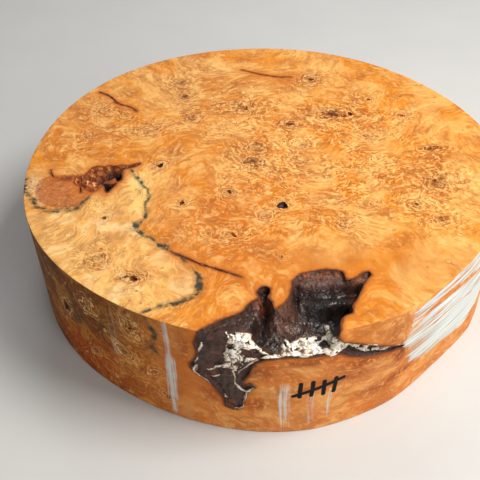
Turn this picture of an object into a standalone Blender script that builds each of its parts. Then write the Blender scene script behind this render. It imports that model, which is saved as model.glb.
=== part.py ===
"""A round sawn from a maple burl, as a wood turner buys it: a low drum of figured wood, one solid.

A bark pocket breaks out through the top face and the front of the side, with a thin bark seam that runs on
round the side. The top face also has a smaller bark void, a notch, drying cracks and the holes of dead buds.

Lengths are millimetres and become metres as the mesh is written. X runs to the right, Y away from the side
with the bark pocket, Z up. The base stands on Z = 0, with the middle of the outline's box at the origin.
"""

import math

import bmesh
import bpy
from mathutils import Vector, noise
from mathutils.geometry import delaunay_2d_cdt

MM = 0.001

# The round itself
DIAMETER = 280.0
HEIGHT = 75.0
EDGE_BREAK = 0.4
SEGMENTS = 144
# Each row is one way that the band saw strayed from a true circle: lobes, size, and the angle of its crest
SAW_WANDER = ((2, 1.25, -29.0), (3, 0.94, 14.0), (4, 0.79, 10.5), (5, 0.84, -7.4))
# The saw also left a corner and a flat at the right front. Each row is an arc length round the side from the
# front, and how far the side lies out from that wandering circle there, at the top and at the base.
SAW_FLAT = (
    (20, 0.0, 0.0), (36, -0.7, -0.7), (50, 0.0, -1.0), (68, 1.8, -0.9), (86, 0.5, -1.9), (102, 0.5, -2.4),
    (119, 0.6, -1.5), (133, 0.4, 0.1), (143, 0.3, 1.2), (175, 0.0, 0.2), (190, 0.0, 0.0),
)

# How far a cutter stands out of the face that it opens
CUTTER_STAND = 6.0
# Every hollow starts with a short upright wall of this depth
LIP = 0.7
# How steeply the walls of each hollow go down behind that, as depth for each millimetre from the mouth
POCKET_WALL_SLOPE = 3.4
BREAKOUT_WALL_SLOPE = 1.9
VOID_WALL_SLOPE = 2.6
NOTCH_WALL_SLOPE = 3.0

# The bark pocket's mouth in the top face, as X and Y. It runs out over the rim at the front.
POCKET_MOUTH = (
    (-34, -152), (-34.5, -136), (-32.3, -133.4), (-29, -131), (-22, -127.2), (-15.3, -124.1), (-12.4, -121),
    (-9.4, -116.8), (-5.6, -114.9), (-6.6, -111), (-5.4, -108.2), (-3, -107), (-0.6, -108.2), (-0.4, -111.6),
    (-1.8, -114.2), (0.2, -117.7), (1.4, -122.8), (4.6, -120.8), (7, -118.6), (9.4, -113), (10.6, -108),
    (11.2, -104.6), (13.4, -101.2), (16.3, -99.3), (21, -97.8), (26, -96.9), (33, -97.2), (36.4, -98.4),
    (37.4, -101.4), (38, -104.5), (42, -103.5), (46, -101), (49.5, -99), (50.5, -101.5), (47, -106),
    (44, -112), (41, -118), (38.5, -121.5), (38, -126), (34, -128), (31.5, -132), (31, -139), (31, -152),
)
POCKET_FLOOR_DEPTH = 13.0
POCKET_GRAIN = 7.0
POCKET_ROUGHNESS = 2.8
# The deep spot of its floor, an oval along X
WELL_CENTRE = Vector((27.0, -123.0))
WELL_REACH = 9.0
WELL_STRETCH = 1.3
WELL_EXTRA = 5.0
# The smooth wall behind the deep spot: where it begins in X and in Y, and its steps down from the back shelf,
# each as the Y where it starts, the Y where it ends, and its drop
WALL_BEGINS_X = (12.0, 14.5)
WALL_BEGINS_Y = (-121.0, -117.0)
WALL_STEPS = ((-104.5, -108.5, 5.8), (-112.5, -118.5, 8.5))
BACK_SHELF_DEPTH = 2.4
# The left shelf gets deeper to the right. Its edge runs from a point at the rim, and leans by a share of Y.
LEFT_SHELF_DEPTH = 2.2
LEFT_SHELF_START = -36.0
LEFT_SHELF_SLOPE = 0.06
LEFT_SHELF_GRAIN = 9.0
LEFT_SHELF_ROUGHNESS = 0.7
SHELF_EDGE = Vector((-14.0, -140.0))
SHELF_EDGE_LEAN = 0.42
SHELF_EDGE_WIDTH = (-2.0, 4.0)

# The same pocket where it breaks out of the side, with the seam that runs on from it. The first number is
# the arc length round the side from the front, the second the height.
POCKET_BREAKOUT = (
    (-32, 86), (-35, 80), (-36, 74), (-37.8, 68), (-38.6, 63), (-37.5, 58), (-42, 46), (-34, 40),
    (-29.5, 34), (-25.7, 26), (-24.5, 20), (-18, 18.5), (-14.7, 25), (-13.7, 33), (-10.5, 38), (-15.4, 41),
    (-12, 48), (-8.5, 57), (0, 60.5), (10, 61), (19.5, 60), (27, 59.5), (32, 58), (39, 53.5), (46.5, 50.5),
    (56, 48.5), (63.5, 47), (69, 47.5),
    (58.5, 52), (51, 56), (44, 60), (36.5, 64), (32.4, 66.4), (30.6, 69.5), (30, 74), (29.6, 80), (27, 86),
)
BARK_FACE_DEPTH = 1.8
BARK_FACE_GRAIN = 8.0
BARK_FACE_ROUGHNESS = 1.5
# Between these arc lengths the bark face gives way to the open seam
SEAM_BEGINS = (-4.0, 30.0)
SEAM_DEPTH = 6.0
SEAM_GRAIN = 5.0
SEAM_ROUGHNESS = 1.5

# The smaller void on the left of the top face, and the notch beside it, as X and Y
VOID_MOUTH = (
    (-108.5, -13.5), (-104, -11), (-101.5, -6), (-98, -2.8), (-93.5, -3.4), (-90, -2.6), (-86, -3),
    (-83, -2.2), (-80, -3.5), (-76, -2), (-72.4, -0.4), (-73.4, -2.8), (-78, -5), (-81.6, -5.8), (-82.6, -10),
    (-81.9, -15.4), (-84.3, -18), (-86.2, -14.6), (-88.4, -16.8), (-91.4, -17.4), (-93.4, -21),
    (-95.6, -25), (-99, -26.4), (-102.5, -23.2), (-106, -20.6), (-109, -18.4),
)
VOID_DEPTH = 4.6
VOID_GRAIN = 4.0
VOID_ROUGHNESS = 2.2
VOID_LEAST_DEPTH = 0.4
# To the left and to the front the void gets shallower by this much, between these places in X and Y
VOID_RISE = 3.2
VOID_RISES_X = (-90.0, -102.0)
VOID_RISES_Y = (-15.0, -20.0)
VOID_DEEP_SPOT = Vector((-85.5, -9.0))
VOID_DEEP_REACH = 5.0
VOID_DEEP_EXTRA = 3.5
NOTCH_MOUTH = (
    (-93, -19.6), (-90, -20), (-86.5, -20.4), (-84.6, -19.2), (-86.5, -23.5), (-89.6, -28), (-91.4, -23),
)
NOTCH_DEPTH = 5.5

# Drying cracks in the top face: the width, the depth, and the route as X and Y
CRACKS = {
    "rim_crack": (
        1.5, 6.0, ((-108, 84), (-102, 79.5), (-97.5, 73), (-93, 67.5), (-89, 64.7), (-84, 62.5), (-80, 58)),
    ),
    "back_crack": (1.3, 4.0, ((-9, 107.5), (-3, 104), (4, 100.5), (11, 97.5), (17, 95.7), (25, 95.3))),
    "front_crack": (0.9, 3.0, ((-49, -80.5), (-42, -85), (-36, -89), (-30, -92), (-24, -95), (-14, -100))),
    "left_check": (0.8, 2.5, ((-125.5, -4.5), (-124.5, -8), (-122.7, -11.5))),
    "patch_check": (1.1, 3.0, ((-105.6, -20), (-105.2, -23.5), (-104.4, -27))),
}

# Holes of dead buds in the top face: X, Y, length, width, turn in degrees, depth
BUD_HOLES = (
    (10.0, -45.0, 6.2, 6.0, 0, 3.2), (-60.0, -3.8, 4.6, 2.8, 70, 3.5), (-46.0, -40.0, 3.4, 1.9, 55, 2.4),
    (-17.5, -68.3, 4.6, 1.8, -50, 2.4), (-68.2, -98.6, 4.6, 3.0, -30, 2.2), (74.0, 62.6, 2.6, 2.0, 30, 2.2),
    (-8.0, 57.0, 3.6, 5.0, 0, 1.6), (20.0, 36.2, 6.0, 2.0, -8, 1.8), (47.0, 46.0, 7.5, 3.0, -12, 1.6),
    (59.5, 45.6, 3.0, 4.6, 10, 2.0), (38.5, 91.0, 4.0, 1.8, -15, 1.8), (-19.4, -31.0, 2.0, 3.2, 20, 1.6),
    (104.0, 4.4, 5.0, 1.8, 5, 1.4), (92.0, 42.0, 3.4, 1.8, 25, 1.6), (-88.0, -50.8, 1.8, 1.8, 0, 1.8),
    (98.0, -27.0, 3.4, 2.2, 35, 1.6), (84.0, -47.6, 2.8, 1.8, -25, 1.4), (-48.0, 74.0, 3.8, 2.2, 40, 1.2),
)
# The same in the side: arc length from the front, height, length, width, turn in degrees, depth
SIDE_BUD_HOLES = (
    (-127.0, 42.0, 8.5, 3.0, 40, 3.0), (-75.0, 60.5, 5.0, 3.0, 20, 1.4), (-97.0, 21.0, 2.6, 3.4, 10, 2.0),
    (-66.0, 17.0, 3.6, 2.2, -20, 1.4), (-92.0, 31.0, 3.0, 1.8, 60, 1.6), (205.0, 49.0, 5.0, 2.6, 15, 2.2),
    (262.0, 27.0, 3.6, 2.4, 70, 1.8), (318.0, 55.0, 6.0, 2.8, -25, 2.4), (150.0, 30.0, 4.0, 2.2, 35, 1.8),
    (-190.0, 24.0, 4.2, 2.4, -35, 2.0), (-236.0, 52.0, 5.2, 2.2, 55, 1.8),
)
HOLE_SIDES = 10
# A hole's section below its mouth: the depth as a share of the whole, and the width as a share of the mouth's
HOLE_SECTION = ((0.35, 0.94), (0.8, 0.55), (1.0, 0.2))
HOLE_MOUTH_STAND = 1.5
HOLE_MOUTH_SPREAD = 1.05
HOLE_WOBBLE = 0.08
# A crack is never narrower or shallower than these shares of its middle, and its walls start upright
CRACK_LEAST_WIDTH = 0.3
CRACK_LEAST_DEPTH = 0.35
CRACK_LIP = 0.3

# How closely the relief of each hollow is modelled
POCKET_STEP = 2.0
BREAKOUT_STEP = 2.1
VOID_STEP = 1.7
NOTCH_STEP = 1.6
# Rows of staggered points lie this share of their spacing apart, and stay this share of it clear of the mouth
ROW_PITCH = math.sqrt(3) / 2
MOUTH_CLEARANCE = 0.55


def mix(first, second, share):
    return first + (second - first) * share


def smoothstep(low, high, value):
    """0 at low, 1 at high, and a smooth rise between; high may be the smaller of the two."""
    share = min(1.0, max(0.0, (value - low) / (high - low)))
    return share * share * (3.0 - 2.0 * share)


def flat_offset(arc, height):
    """How far the corner and the flat move the side out, at an arc length from the front and a height."""
    up = min(1.0, max(0.0, height / HEIGHT))
    for (start, start_top, start_base), (end, end_top, end_base) in zip(SAW_FLAT, SAW_FLAT[1:]):
        if start <= arc < end:
            share = (arc - start) / (end - start)
            return mix(mix(start_base, end_base, share), mix(start_top, end_top, share), up)
    return 0.0


def rim_radius(angle, height):
    """The distance from the saw's centre to the side, at an angle from +X in radians and a height."""
    wander = sum(size * math.cos(lobes * (angle - math.radians(crest))) for lobes, size, crest in SAW_WANDER)
    turn = (angle + 1.5 * math.pi) % (2 * math.pi) - math.pi
    return DIAMETER / 2 + wander + flat_offset(turn * DIAMETER / 2, height)


def outline_middle():
    """The middle of the box round the outline, which becomes the origin."""
    angles = [2 * math.pi * i / SEGMENTS for i in range(SEGMENTS)]
    xs = [rim_radius(a, HEIGHT) * math.cos(a) for a in angles]
    ys = [rim_radius(a, HEIGHT) * math.sin(a) for a in angles]
    return Vector(((min(xs) + max(xs)) / 2, (min(ys) + max(ys)) / 2, 0.0))


MIDDLE = outline_middle()


def to_metres(point):
    """A point in millimetres from the saw's centre, as metres from the origin."""
    return (Vector(point) - MIDDLE) * MM


def in_top(x, y, depth):
    """A point at a depth below the top face."""
    return Vector((x, y, HEIGHT - depth))


def in_side(arc, height, depth):
    """A point at a depth inside the side, by its arc length from the front and its height."""
    angle = arc / (DIAMETER / 2) - math.pi / 2
    radius = rim_radius(angle, height) - depth
    return Vector((radius * math.cos(angle), radius * math.sin(angle), height))


def closed_curve(points, step):
    """Points about a step apart on a smooth closed curve through the given points."""
    found = []
    count = len(points)
    for i in range(count):
        before, start, end, after = (Vector(points[(i + k) % count]) for k in (-1, 0, 1, 2))
        pieces = max(1, round((end - start).length / step))
        for j in range(pieces):
            t = j / pieces
            bend = (2 * before - 5 * start + 4 * end - after) * t * t
            turn = (3 * start - before - 3 * end + after) * t * t * t
            found.append(0.5 * (2 * start + (end - before) * t + bend + turn))
    return found


def edge_distance(point, ring):
    """The distance from a point to a ring of points, positive inside it and negative outside."""
    nearest = math.inf
    inside = False
    for i, start in enumerate(ring):
        end = ring[(i + 1) % len(ring)]
        run = end - start
        share = min(1.0, max(0.0, (point - start).dot(run) / max(run.length_squared, 1e-9)))
        nearest = min(nearest, (point - start - run * share).length)
        if (start.y > point.y) != (end.y > point.y):
            crossing = start.x + (point.y - start.y) * run.x / run.y
            inside = inside != (point.x < crossing)
    return nearest if inside else -nearest


def inner_points(ring, step):
    """Staggered points that fill a ring and stay clear of its edge."""
    low = Vector((min(p.x for p in ring), min(p.y for p in ring)))
    high = Vector((max(p.x for p in ring), max(p.y for p in ring)))
    rows = int((high.y - low.y) / (step * ROW_PITCH)) + 1
    columns = int((high.x - low.x) / step) + 1
    found = []
    for row in range(rows):
        for column in range(columns):
            x = low.x + (column + 0.5 * (row % 2)) * step
            point = Vector((x, low.y + row * step * ROW_PITCH))
            if edge_distance(point, ring) > MOUTH_CLEARANCE * step:
                found.append(point)
    return found


def roughness(point, grain, height):
    """Crumbly bark: lumps of about the given grain, that rise and sink by about the given height."""
    place = Vector((point.x, point.y, 0.37 * point.x - 0.21 * point.y)) / grain
    return height * noise.fractal(place, 0.9, 2.1, 3, noise_basis="PERLIN_ORIGINAL")


def pocket_depth(point, edge):
    """The bark pocket's depth below the top face: floor, deep spot, stepped wall and left shelf."""
    across = point - WELL_CENTRE
    well = math.exp(-((math.hypot(across.x / WELL_STRETCH, across.y) / WELL_REACH) ** 2))
    floor = POCKET_FLOOR_DEPTH + WELL_EXTRA * well + roughness(point, POCKET_GRAIN, POCKET_ROUGHNESS)
    wall = BACK_SHELF_DEPTH + sum(drop * smoothstep(start, end, point.y) for start, end, drop in WALL_STEPS)
    floor = mix(floor, wall, smoothstep(*WALL_BEGINS_X, point.x) * smoothstep(*WALL_BEGINS_Y, point.y))
    left_shelf = LEFT_SHELF_DEPTH + LEFT_SHELF_SLOPE * (point.x - LEFT_SHELF_START)
    left_shelf += roughness(point, LEFT_SHELF_GRAIN, LEFT_SHELF_ROUGHNESS)
    beyond = point.x - SHELF_EDGE.x - SHELF_EDGE_LEAN * (point.y - SHELF_EDGE.y)
    depth = mix(left_shelf, floor, smoothstep(*SHELF_EDGE_WIDTH, beyond))
    return min(depth, LIP + POCKET_WALL_SLOPE * edge)


def breakout_depth(point, edge):
    """The depth inside the side: a rough bark face on the left, and a deeper open seam on the right."""
    bark_face = BARK_FACE_DEPTH + roughness(point, BARK_FACE_GRAIN, BARK_FACE_ROUGHNESS)
    seam = SEAM_DEPTH + roughness(point, SEAM_GRAIN, SEAM_ROUGHNESS)
    depth = mix(bark_face, seam, smoothstep(*SEAM_BEGINS, point.x))
    return min(max(depth, LIP), LIP + BREAKOUT_WALL_SLOPE * edge)


def void_depth(point, edge):
    """The smaller void's depth below the top face, with its deep spot on the right."""
    deep = math.exp(-(((point - VOID_DEEP_SPOT).length / VOID_DEEP_REACH) ** 2))
    shallow = max(smoothstep(*VOID_RISES_X, point.x), smoothstep(*VOID_RISES_Y, point.y))
    floor = VOID_DEPTH - VOID_RISE * shallow + VOID_DEEP_EXTRA * deep
    floor += roughness(point, VOID_GRAIN, VOID_ROUGHNESS)
    return min(max(floor, VOID_LEAST_DEPTH), LIP + VOID_WALL_SLOPE * edge)


def notch_depth(point, edge):
    """The notch's depth below the top face."""
    return min(NOTCH_DEPTH, LIP + NOTCH_WALL_SLOPE * edge)


def object_from(name, bm, material, collection):
    """A named object that holds a bmesh of millimetres, written in metres."""
    for vertex in bm.verts:
        vertex.co = to_metres(vertex.co)
    bmesh.ops.recalc_face_normals(bm, faces=bm.faces)
    mesh = bpy.data.meshes.new(name)
    bm.to_mesh(mesh)
    bm.free()
    made = bpy.data.objects.new(name, mesh)
    collection.objects.link(made)
    if material:
        mesh.materials.append(material)
    return made


def hide_cutter(cutter):
    """Marks an object as a cutter, which isn't part of the model."""
    cutter.hide_render = True
    cutter.display_type = "WIRE"
    return cutter


def loft(bm, rings):
    """Joins rings of points one after another with quads, and closes the first and the last."""
    loops = [[bm.verts.new(point) for point in ring] for ring in rings]
    count = len(loops[0])
    for lower, upper in zip(loops, loops[1:]):
        for i in range(count):
            j = (i + 1) % count
            bm.faces.new((lower[i], lower[j], upper[j], upper[i]))
    bm.faces.new(loops[0])
    bm.faces.new(loops[-1])


def relief_cutter(name, points, step, place, depth_at, collection):
    """A cutter whose inner face follows a relief.

    points give the mouth's outline on the face, place turns them and a depth into a place, and depth_at
    gives the depth for a point and its distance from the mouth's edge.
    """
    ring = closed_curve(points, step)
    flat = ring + inner_points(ring, step)
    corners, _, triangles, *_ = delaunay_2d_cdt(flat, [], [list(range(len(ring)))], 1, 1e-4)
    bm = bmesh.new()
    inner = []
    outer = []
    for corner in corners:
        depth = depth_at(corner, max(0.0, edge_distance(corner, ring)))
        inner.append(bm.verts.new(place(corner.x, corner.y, depth)))
        outer.append(bm.verts.new(place(corner.x, corner.y, -CUTTER_STAND)))
    for a, b, c in triangles:
        bm.faces.new((inner[a], inner[b], inner[c]))
        bm.faces.new((outer[c], outer[b], outer[a]))
    borders = [edge for edge in bm.edges if edge.is_boundary]
    bmesh.ops.bridge_loops(bm, edges=borders)
    bmesh.ops.triangulate(bm, faces=bm.faces)
    return hide_cutter(object_from(name, bm, None, collection))


def crack_cutter(name, width, depth, route, collection):
    """A cutter for a crack: a wedge along a wandering route, widest at its middle, with a sharp bottom."""
    points = [Vector(p) for p in route]
    rings = []
    for i, point in enumerate(points):
        along = (points[min(i + 1, len(points) - 1)] - points[max(i - 1, 0)]).normalized()
        across = Vector((-along.y, along.x))
        fullness = math.sin(math.pi * (i + 0.5) / len(points))
        half = width / 2 * max(CRACK_LEAST_WIDTH, fullness)
        sink = depth * max(CRACK_LEAST_DEPTH, fullness)
        left, right = point + across * half, point - across * half
        upper = [in_top(left.x, left.y, -CUTTER_STAND), in_top(right.x, right.y, -CUTTER_STAND)]
        sides = [in_top(right.x, right.y, CRACK_LIP), in_top(left.x, left.y, CRACK_LIP)]
        rings.append([*upper, sides[0], in_top(point.x, point.y, sink), sides[1]])
    bm = bmesh.new()
    loft(bm, rings)
    bmesh.ops.triangulate(bm, faces=bm.faces)
    return hide_cutter(object_from(name, bm, None, collection))


def hole_cutter(name, hole, place, collection):
    """A cutter for a dead bud's hole: an oval cone with a rounded bottom."""
    u, v, length, width, turn, depth = hole
    lean = math.radians(turn)
    mouth = (-HOLE_MOUTH_STAND, HOLE_MOUTH_SPREAD)
    section = [(share * depth, spread) for share, spread in HOLE_SECTION]
    rings = []
    for level, spread in (mouth, *section):
        ring = []
        for i in range(HOLE_SIDES):
            angle = 2 * math.pi * i / HOLE_SIDES
            wobble = spread * (1.0 + HOLE_WOBBLE * math.sin(3 * angle + u))
            a, b = length / 2 * math.cos(angle) * wobble, width / 2 * math.sin(angle) * wobble
            along = u + a * math.cos(lean) - b * math.sin(lean)
            up = v + a * math.sin(lean) + b * math.cos(lean)
            ring.append(place(along, up, level))
        rings.append(ring)
    bm = bmesh.new()
    loft(bm, rings)
    bmesh.ops.triangulate(bm, faces=bm.faces)
    return hide_cutter(object_from(name, bm, None, collection))


def wood():
    """The round's material: oiled, honey-coloured maple burl."""
    material = bpy.data.materials.new("burl_wood")
    material.use_nodes = True
    shader = material.node_tree.nodes["Principled BSDF"]
    shader.inputs["Base Color"].default_value = (0.62, 0.33, 0.12, 1.0)
    shader.inputs["Roughness"].default_value = 0.5
    shader.inputs["Metallic"].default_value = 0.0
    return material


def drum(collection):
    """The sawn round before anything is missing from it: its side, and a small break on each edge."""
    angles = [2 * math.pi * i / SEGMENTS for i in range(SEGMENTS)]
    levels = ((0.0, EDGE_BREAK), (EDGE_BREAK, 0.0), (HEIGHT - EDGE_BREAK, 0.0), (HEIGHT, EDGE_BREAK))
    rings = []
    for height, inset in levels:
        radii = [rim_radius(angle, height) - inset for angle in angles]
        rings.append([Vector((r * math.cos(a), r * math.sin(a), height)) for r, a in zip(radii, angles)])
    bm = bmesh.new()
    loft(bm, rings)
    return object_from("burl_round", bm, wood(), collection)


def cutters(collection):
    """Everything that is missing from the drum, as closed cutters in one collection."""
    relief_cutter("pocket_cutter", POCKET_MOUTH, POCKET_STEP, in_top, pocket_depth, collection)
    relief_cutter("breakout_cutter", POCKET_BREAKOUT, BREAKOUT_STEP, in_side, breakout_depth, collection)
    relief_cutter("void_cutter", VOID_MOUTH, VOID_STEP, in_top, void_depth, collection)
    relief_cutter("notch_cutter", NOTCH_MOUTH, NOTCH_STEP, in_top, notch_depth, collection)
    for name, (width, depth, route) in CRACKS.items():
        crack_cutter(name + "_cutter", width, depth, route, collection)
    for number, hole in enumerate(BUD_HOLES, 1):
        hole_cutter(f"top_bud_{number:02d}_cutter", hole, in_top, collection)
    for number, hole in enumerate(SIDE_BUD_HOLES, 1):
        hole_cutter(f"side_bud_{number:02d}_cutter", hole, in_side, collection)


def main():
    for old in list(bpy.data.objects):
        bpy.data.objects.remove(old)
    scene = bpy.context.scene.collection
    tools = bpy.data.collections.new("cutters")
    scene.children.link(tools)
    cutters(tools)
    burl = drum(scene)
    cut = burl.modifiers.new("hollows", "BOOLEAN")
    cut.operation = "DIFFERENCE"
    cut.solver = "EXACT"
    cut.operand_type = "COLLECTION"
    cut.collection = tools


main()
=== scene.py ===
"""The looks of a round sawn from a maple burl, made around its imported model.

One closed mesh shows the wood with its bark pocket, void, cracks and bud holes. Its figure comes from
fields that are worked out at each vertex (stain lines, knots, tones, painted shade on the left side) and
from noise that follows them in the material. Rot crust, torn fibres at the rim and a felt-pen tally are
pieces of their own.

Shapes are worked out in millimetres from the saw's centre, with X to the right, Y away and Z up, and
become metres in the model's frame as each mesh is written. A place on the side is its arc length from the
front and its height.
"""

import logging
import math
from dataclasses import dataclass, field
from enum import Enum

import bmesh
import bpy
import numpy as np
from bmesh.types import BMesh, BMVert
from bpy.types import Material, Mesh, Node, NodeSocket, Object
from mathutils import Matrix, Vector, noise
from mathutils.bvhtree import BVHTree
from mathutils.geometry import delaunay_2d_cdt
from mathutils.kdtree import KDTree


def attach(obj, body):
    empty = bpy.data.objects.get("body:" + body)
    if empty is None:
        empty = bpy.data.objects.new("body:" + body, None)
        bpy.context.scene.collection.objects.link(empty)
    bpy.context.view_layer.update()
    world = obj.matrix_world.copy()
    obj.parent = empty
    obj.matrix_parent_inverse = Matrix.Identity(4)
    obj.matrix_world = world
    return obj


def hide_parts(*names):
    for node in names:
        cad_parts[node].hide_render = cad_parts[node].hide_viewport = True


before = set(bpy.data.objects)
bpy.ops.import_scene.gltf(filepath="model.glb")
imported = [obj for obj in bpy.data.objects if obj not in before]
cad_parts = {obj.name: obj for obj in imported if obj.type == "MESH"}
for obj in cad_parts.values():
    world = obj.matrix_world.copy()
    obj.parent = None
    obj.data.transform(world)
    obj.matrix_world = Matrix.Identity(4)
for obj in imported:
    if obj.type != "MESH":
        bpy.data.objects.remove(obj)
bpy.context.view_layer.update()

NODE = "burl_round"
BODY = "root"
MM = 0.001
ROW_PITCH = 0.866
LOG = logging.getLogger("maple_burl")

Colour = tuple[float, float, float, float]
Route = tuple[tuple[float, ...], ...]
Materials = list[Material]
Array = np.ndarray


def srgb(red: int, green: int, blue: int) -> Colour:
    """Turns a colour as a screen shows it, 0 to 255, into the linear one that a shader takes."""
    parts = [part / 255 for part in (red, green, blue)]
    return (*(part / 12.92 if part <= 0.04045 else ((part + 0.055) / 1.055) ** 2.4 for part in parts), 1.0)


def rise(low: float, high: float, value: Array) -> Array:
    """Gives 0 at low, 1 at high, and a smooth rise between."""
    share = np.clip((value - low) / (high - low), 0.0, 1.0)
    return share * share * (3.0 - 2.0 * share)


def blend(first: Array, second: Array, share: Array) -> Array:
    """Mixes two arrays by a share of the second."""
    return first + (second - first) * share


def lumps(points: Array, grain: float, octaves: int = 3, seed: float = 0.0) -> Array:
    """Reads a lumpy noise at points.

    Args:
        points: one row of two or three numbers for each place, in millimetres.
        grain: the usual size of a lump.
        octaves: how many finer layers are added up.
        seed: a shift that gives another pattern.

    Returns:
        A height for each place, mostly between -1 and 1.
    """
    places = np.zeros((len(points), 3))
    places[:, : points.shape[1]] = points / grain
    places += (seed, seed * 0.7, seed * 1.3)
    basis = "PERLIN_ORIGINAL"
    return np.array([noise.fractal(place, 0.9, 2.1, octaves, noise_basis=basis) for place in places.tolist()])


def facets(points: Array, grain: float) -> Array:
    """Reads how far places lie from the middle of the bark grain that they are in, as a share of its size."""
    places = np.zeros((len(points), 3))
    places[:, : points.shape[1]] = points / grain
    return np.array([noise.voronoi(Vector(place))[0][0] for place in places.tolist()])


def smooth_route(points: Route, step: float, closed: bool = False) -> Array:
    """Places points about a step apart on a smooth curve through the given ones.

    Args:
        points: the curve's own points; their first two numbers are the place, and the rest is carried along.
        step: the wanted distance.
        closed: whether the last point joins the first.

    Returns:
        The points in order, one row each.
    """
    given = np.array(points, dtype=float)
    count = len(given)
    found = []
    for i in range(count if closed else count - 1):
        picks = [(i + k) % count if closed else min(max(i + k, 0), count - 1) for k in (-1, 0, 1, 2)]
        before, start, end, after = given[picks]
        pieces = max(1, round(float(np.linalg.norm((end - start)[:2])) / step))
        t = (np.arange(pieces) / pieces)[:, None]
        bend = (2 * before - 5 * start + 4 * end - after) * t**2
        turn = (3 * start - before - 3 * end + after) * t**3
        found.append(0.5 * (2 * start + (end - before) * t + bend + turn))
    if not closed:
        found.append(given[-1:])
    return np.concatenate(found)


def route_distance(points: Array, route: Array, widths: Array | None = None) -> Array:
    """Measures from points to a run of straight pieces.

    Args:
        points: the places, one row each.
        route: the run's corners in order, one row each.
        widths: a half width at each corner, which is taken off the distance.

    Returns:
        The distance of each place to the run, negative inside its width.
    """
    nearest = np.full(len(points), np.inf)
    for i in range(len(route) - 1):
        run = route[i + 1] - route[i]
        share = np.clip((points - route[i]) @ run / max(float(run @ run), 1e-9), 0.0, 1.0)
        distance = np.linalg.norm(points - route[i] - share[:, None] * run, axis=1)
        if widths is not None:
            distance = distance - blend(widths[i], widths[i + 1], share)
        nearest = np.minimum(nearest, distance)
    return nearest


def inside(points: Array, starts: Array, ends: Array) -> Array:
    """Tells which points a closed border holds, by the edges that a ray to the right crosses.

    Args:
        points: places in a plane.
        starts: one end of each border edge.
        ends: the other end of each.

    Returns:
        True for each place that lies inside.
    """
    held = np.zeros(len(points), dtype=bool)
    for start, end in zip(starts, ends):
        if start[1] == end[1]:
            continue
        spans = (start[1] > points[:, 1]) != (end[1] > points[:, 1])
        crossing = start[0] + (points[:, 1] - start[1]) * (end[0] - start[0]) / (end[1] - start[1])
        held ^= spans & (points[:, 0] < crossing)
    return held


def ring_distance(points: Array, ring: Array) -> Array:
    """Measures from points to a closed ring, positive inside it and negative outside."""
    closed = np.vstack((ring, ring[:1]))
    distance = route_distance(points, closed)
    return np.where(inside(points, closed[:-1], closed[1:]), distance, -distance)


def staggered(low: Array | tuple, high: Array | tuple, step: float) -> Array:
    """Fills a box with points in staggered rows.

    Args:
        low: the box's lower corner.
        high: its upper corner.
        step: the distance between neighbours.

    Returns:
        The points, one row each.
    """
    rows = np.arange(low[1], high[1], step * ROW_PITCH)
    x, y = np.meshgrid(np.arange(low[0], high[0], step), rows)
    x = x + (np.arange(len(rows)) % 2)[:, None] * step / 2
    return np.stack((x.ravel(), y.ravel()), axis=1)


def filling_points(ring: Array, step: float) -> Array:
    """Fills a ring with staggered points that stay clear of its edge."""
    points = staggered(ring.min(axis=0), ring.max(axis=0), step)
    return points[ring_distance(points, ring) > 0.6 * step]


def triangulated(flat: Array, edges: list, faces: list, mode: int, merge: float) -> tuple:
    """Joins points in a plane into triangles.

    Args:
        flat: the points.
        edges: pairs of points that stay joined.
        faces: closed runs of points that bound the result.
        mode: 0 for everything inside the points' hull and 1 for what the runs hold.
        merge: how near two points have to be to become one.

    Returns:
        The points, the triangles' corner numbers and the given points that each point comes from.
    """
    places = [Vector(place) for place in flat.tolist()]
    found, _, triangles, origins, *_ = delaunay_2d_cdt(places, edges, faces, mode, merge)
    return np.array([tuple(place) for place in found]), triangles, origins


def route_gap(points: Array, route: Route, step: float) -> Array:
    """Measures from points to a smooth stroke whose corners hold a half width as their third number."""
    line = smooth_route(route, step)
    return route_distance(points, line[:, :2], line[:, 2])


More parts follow.
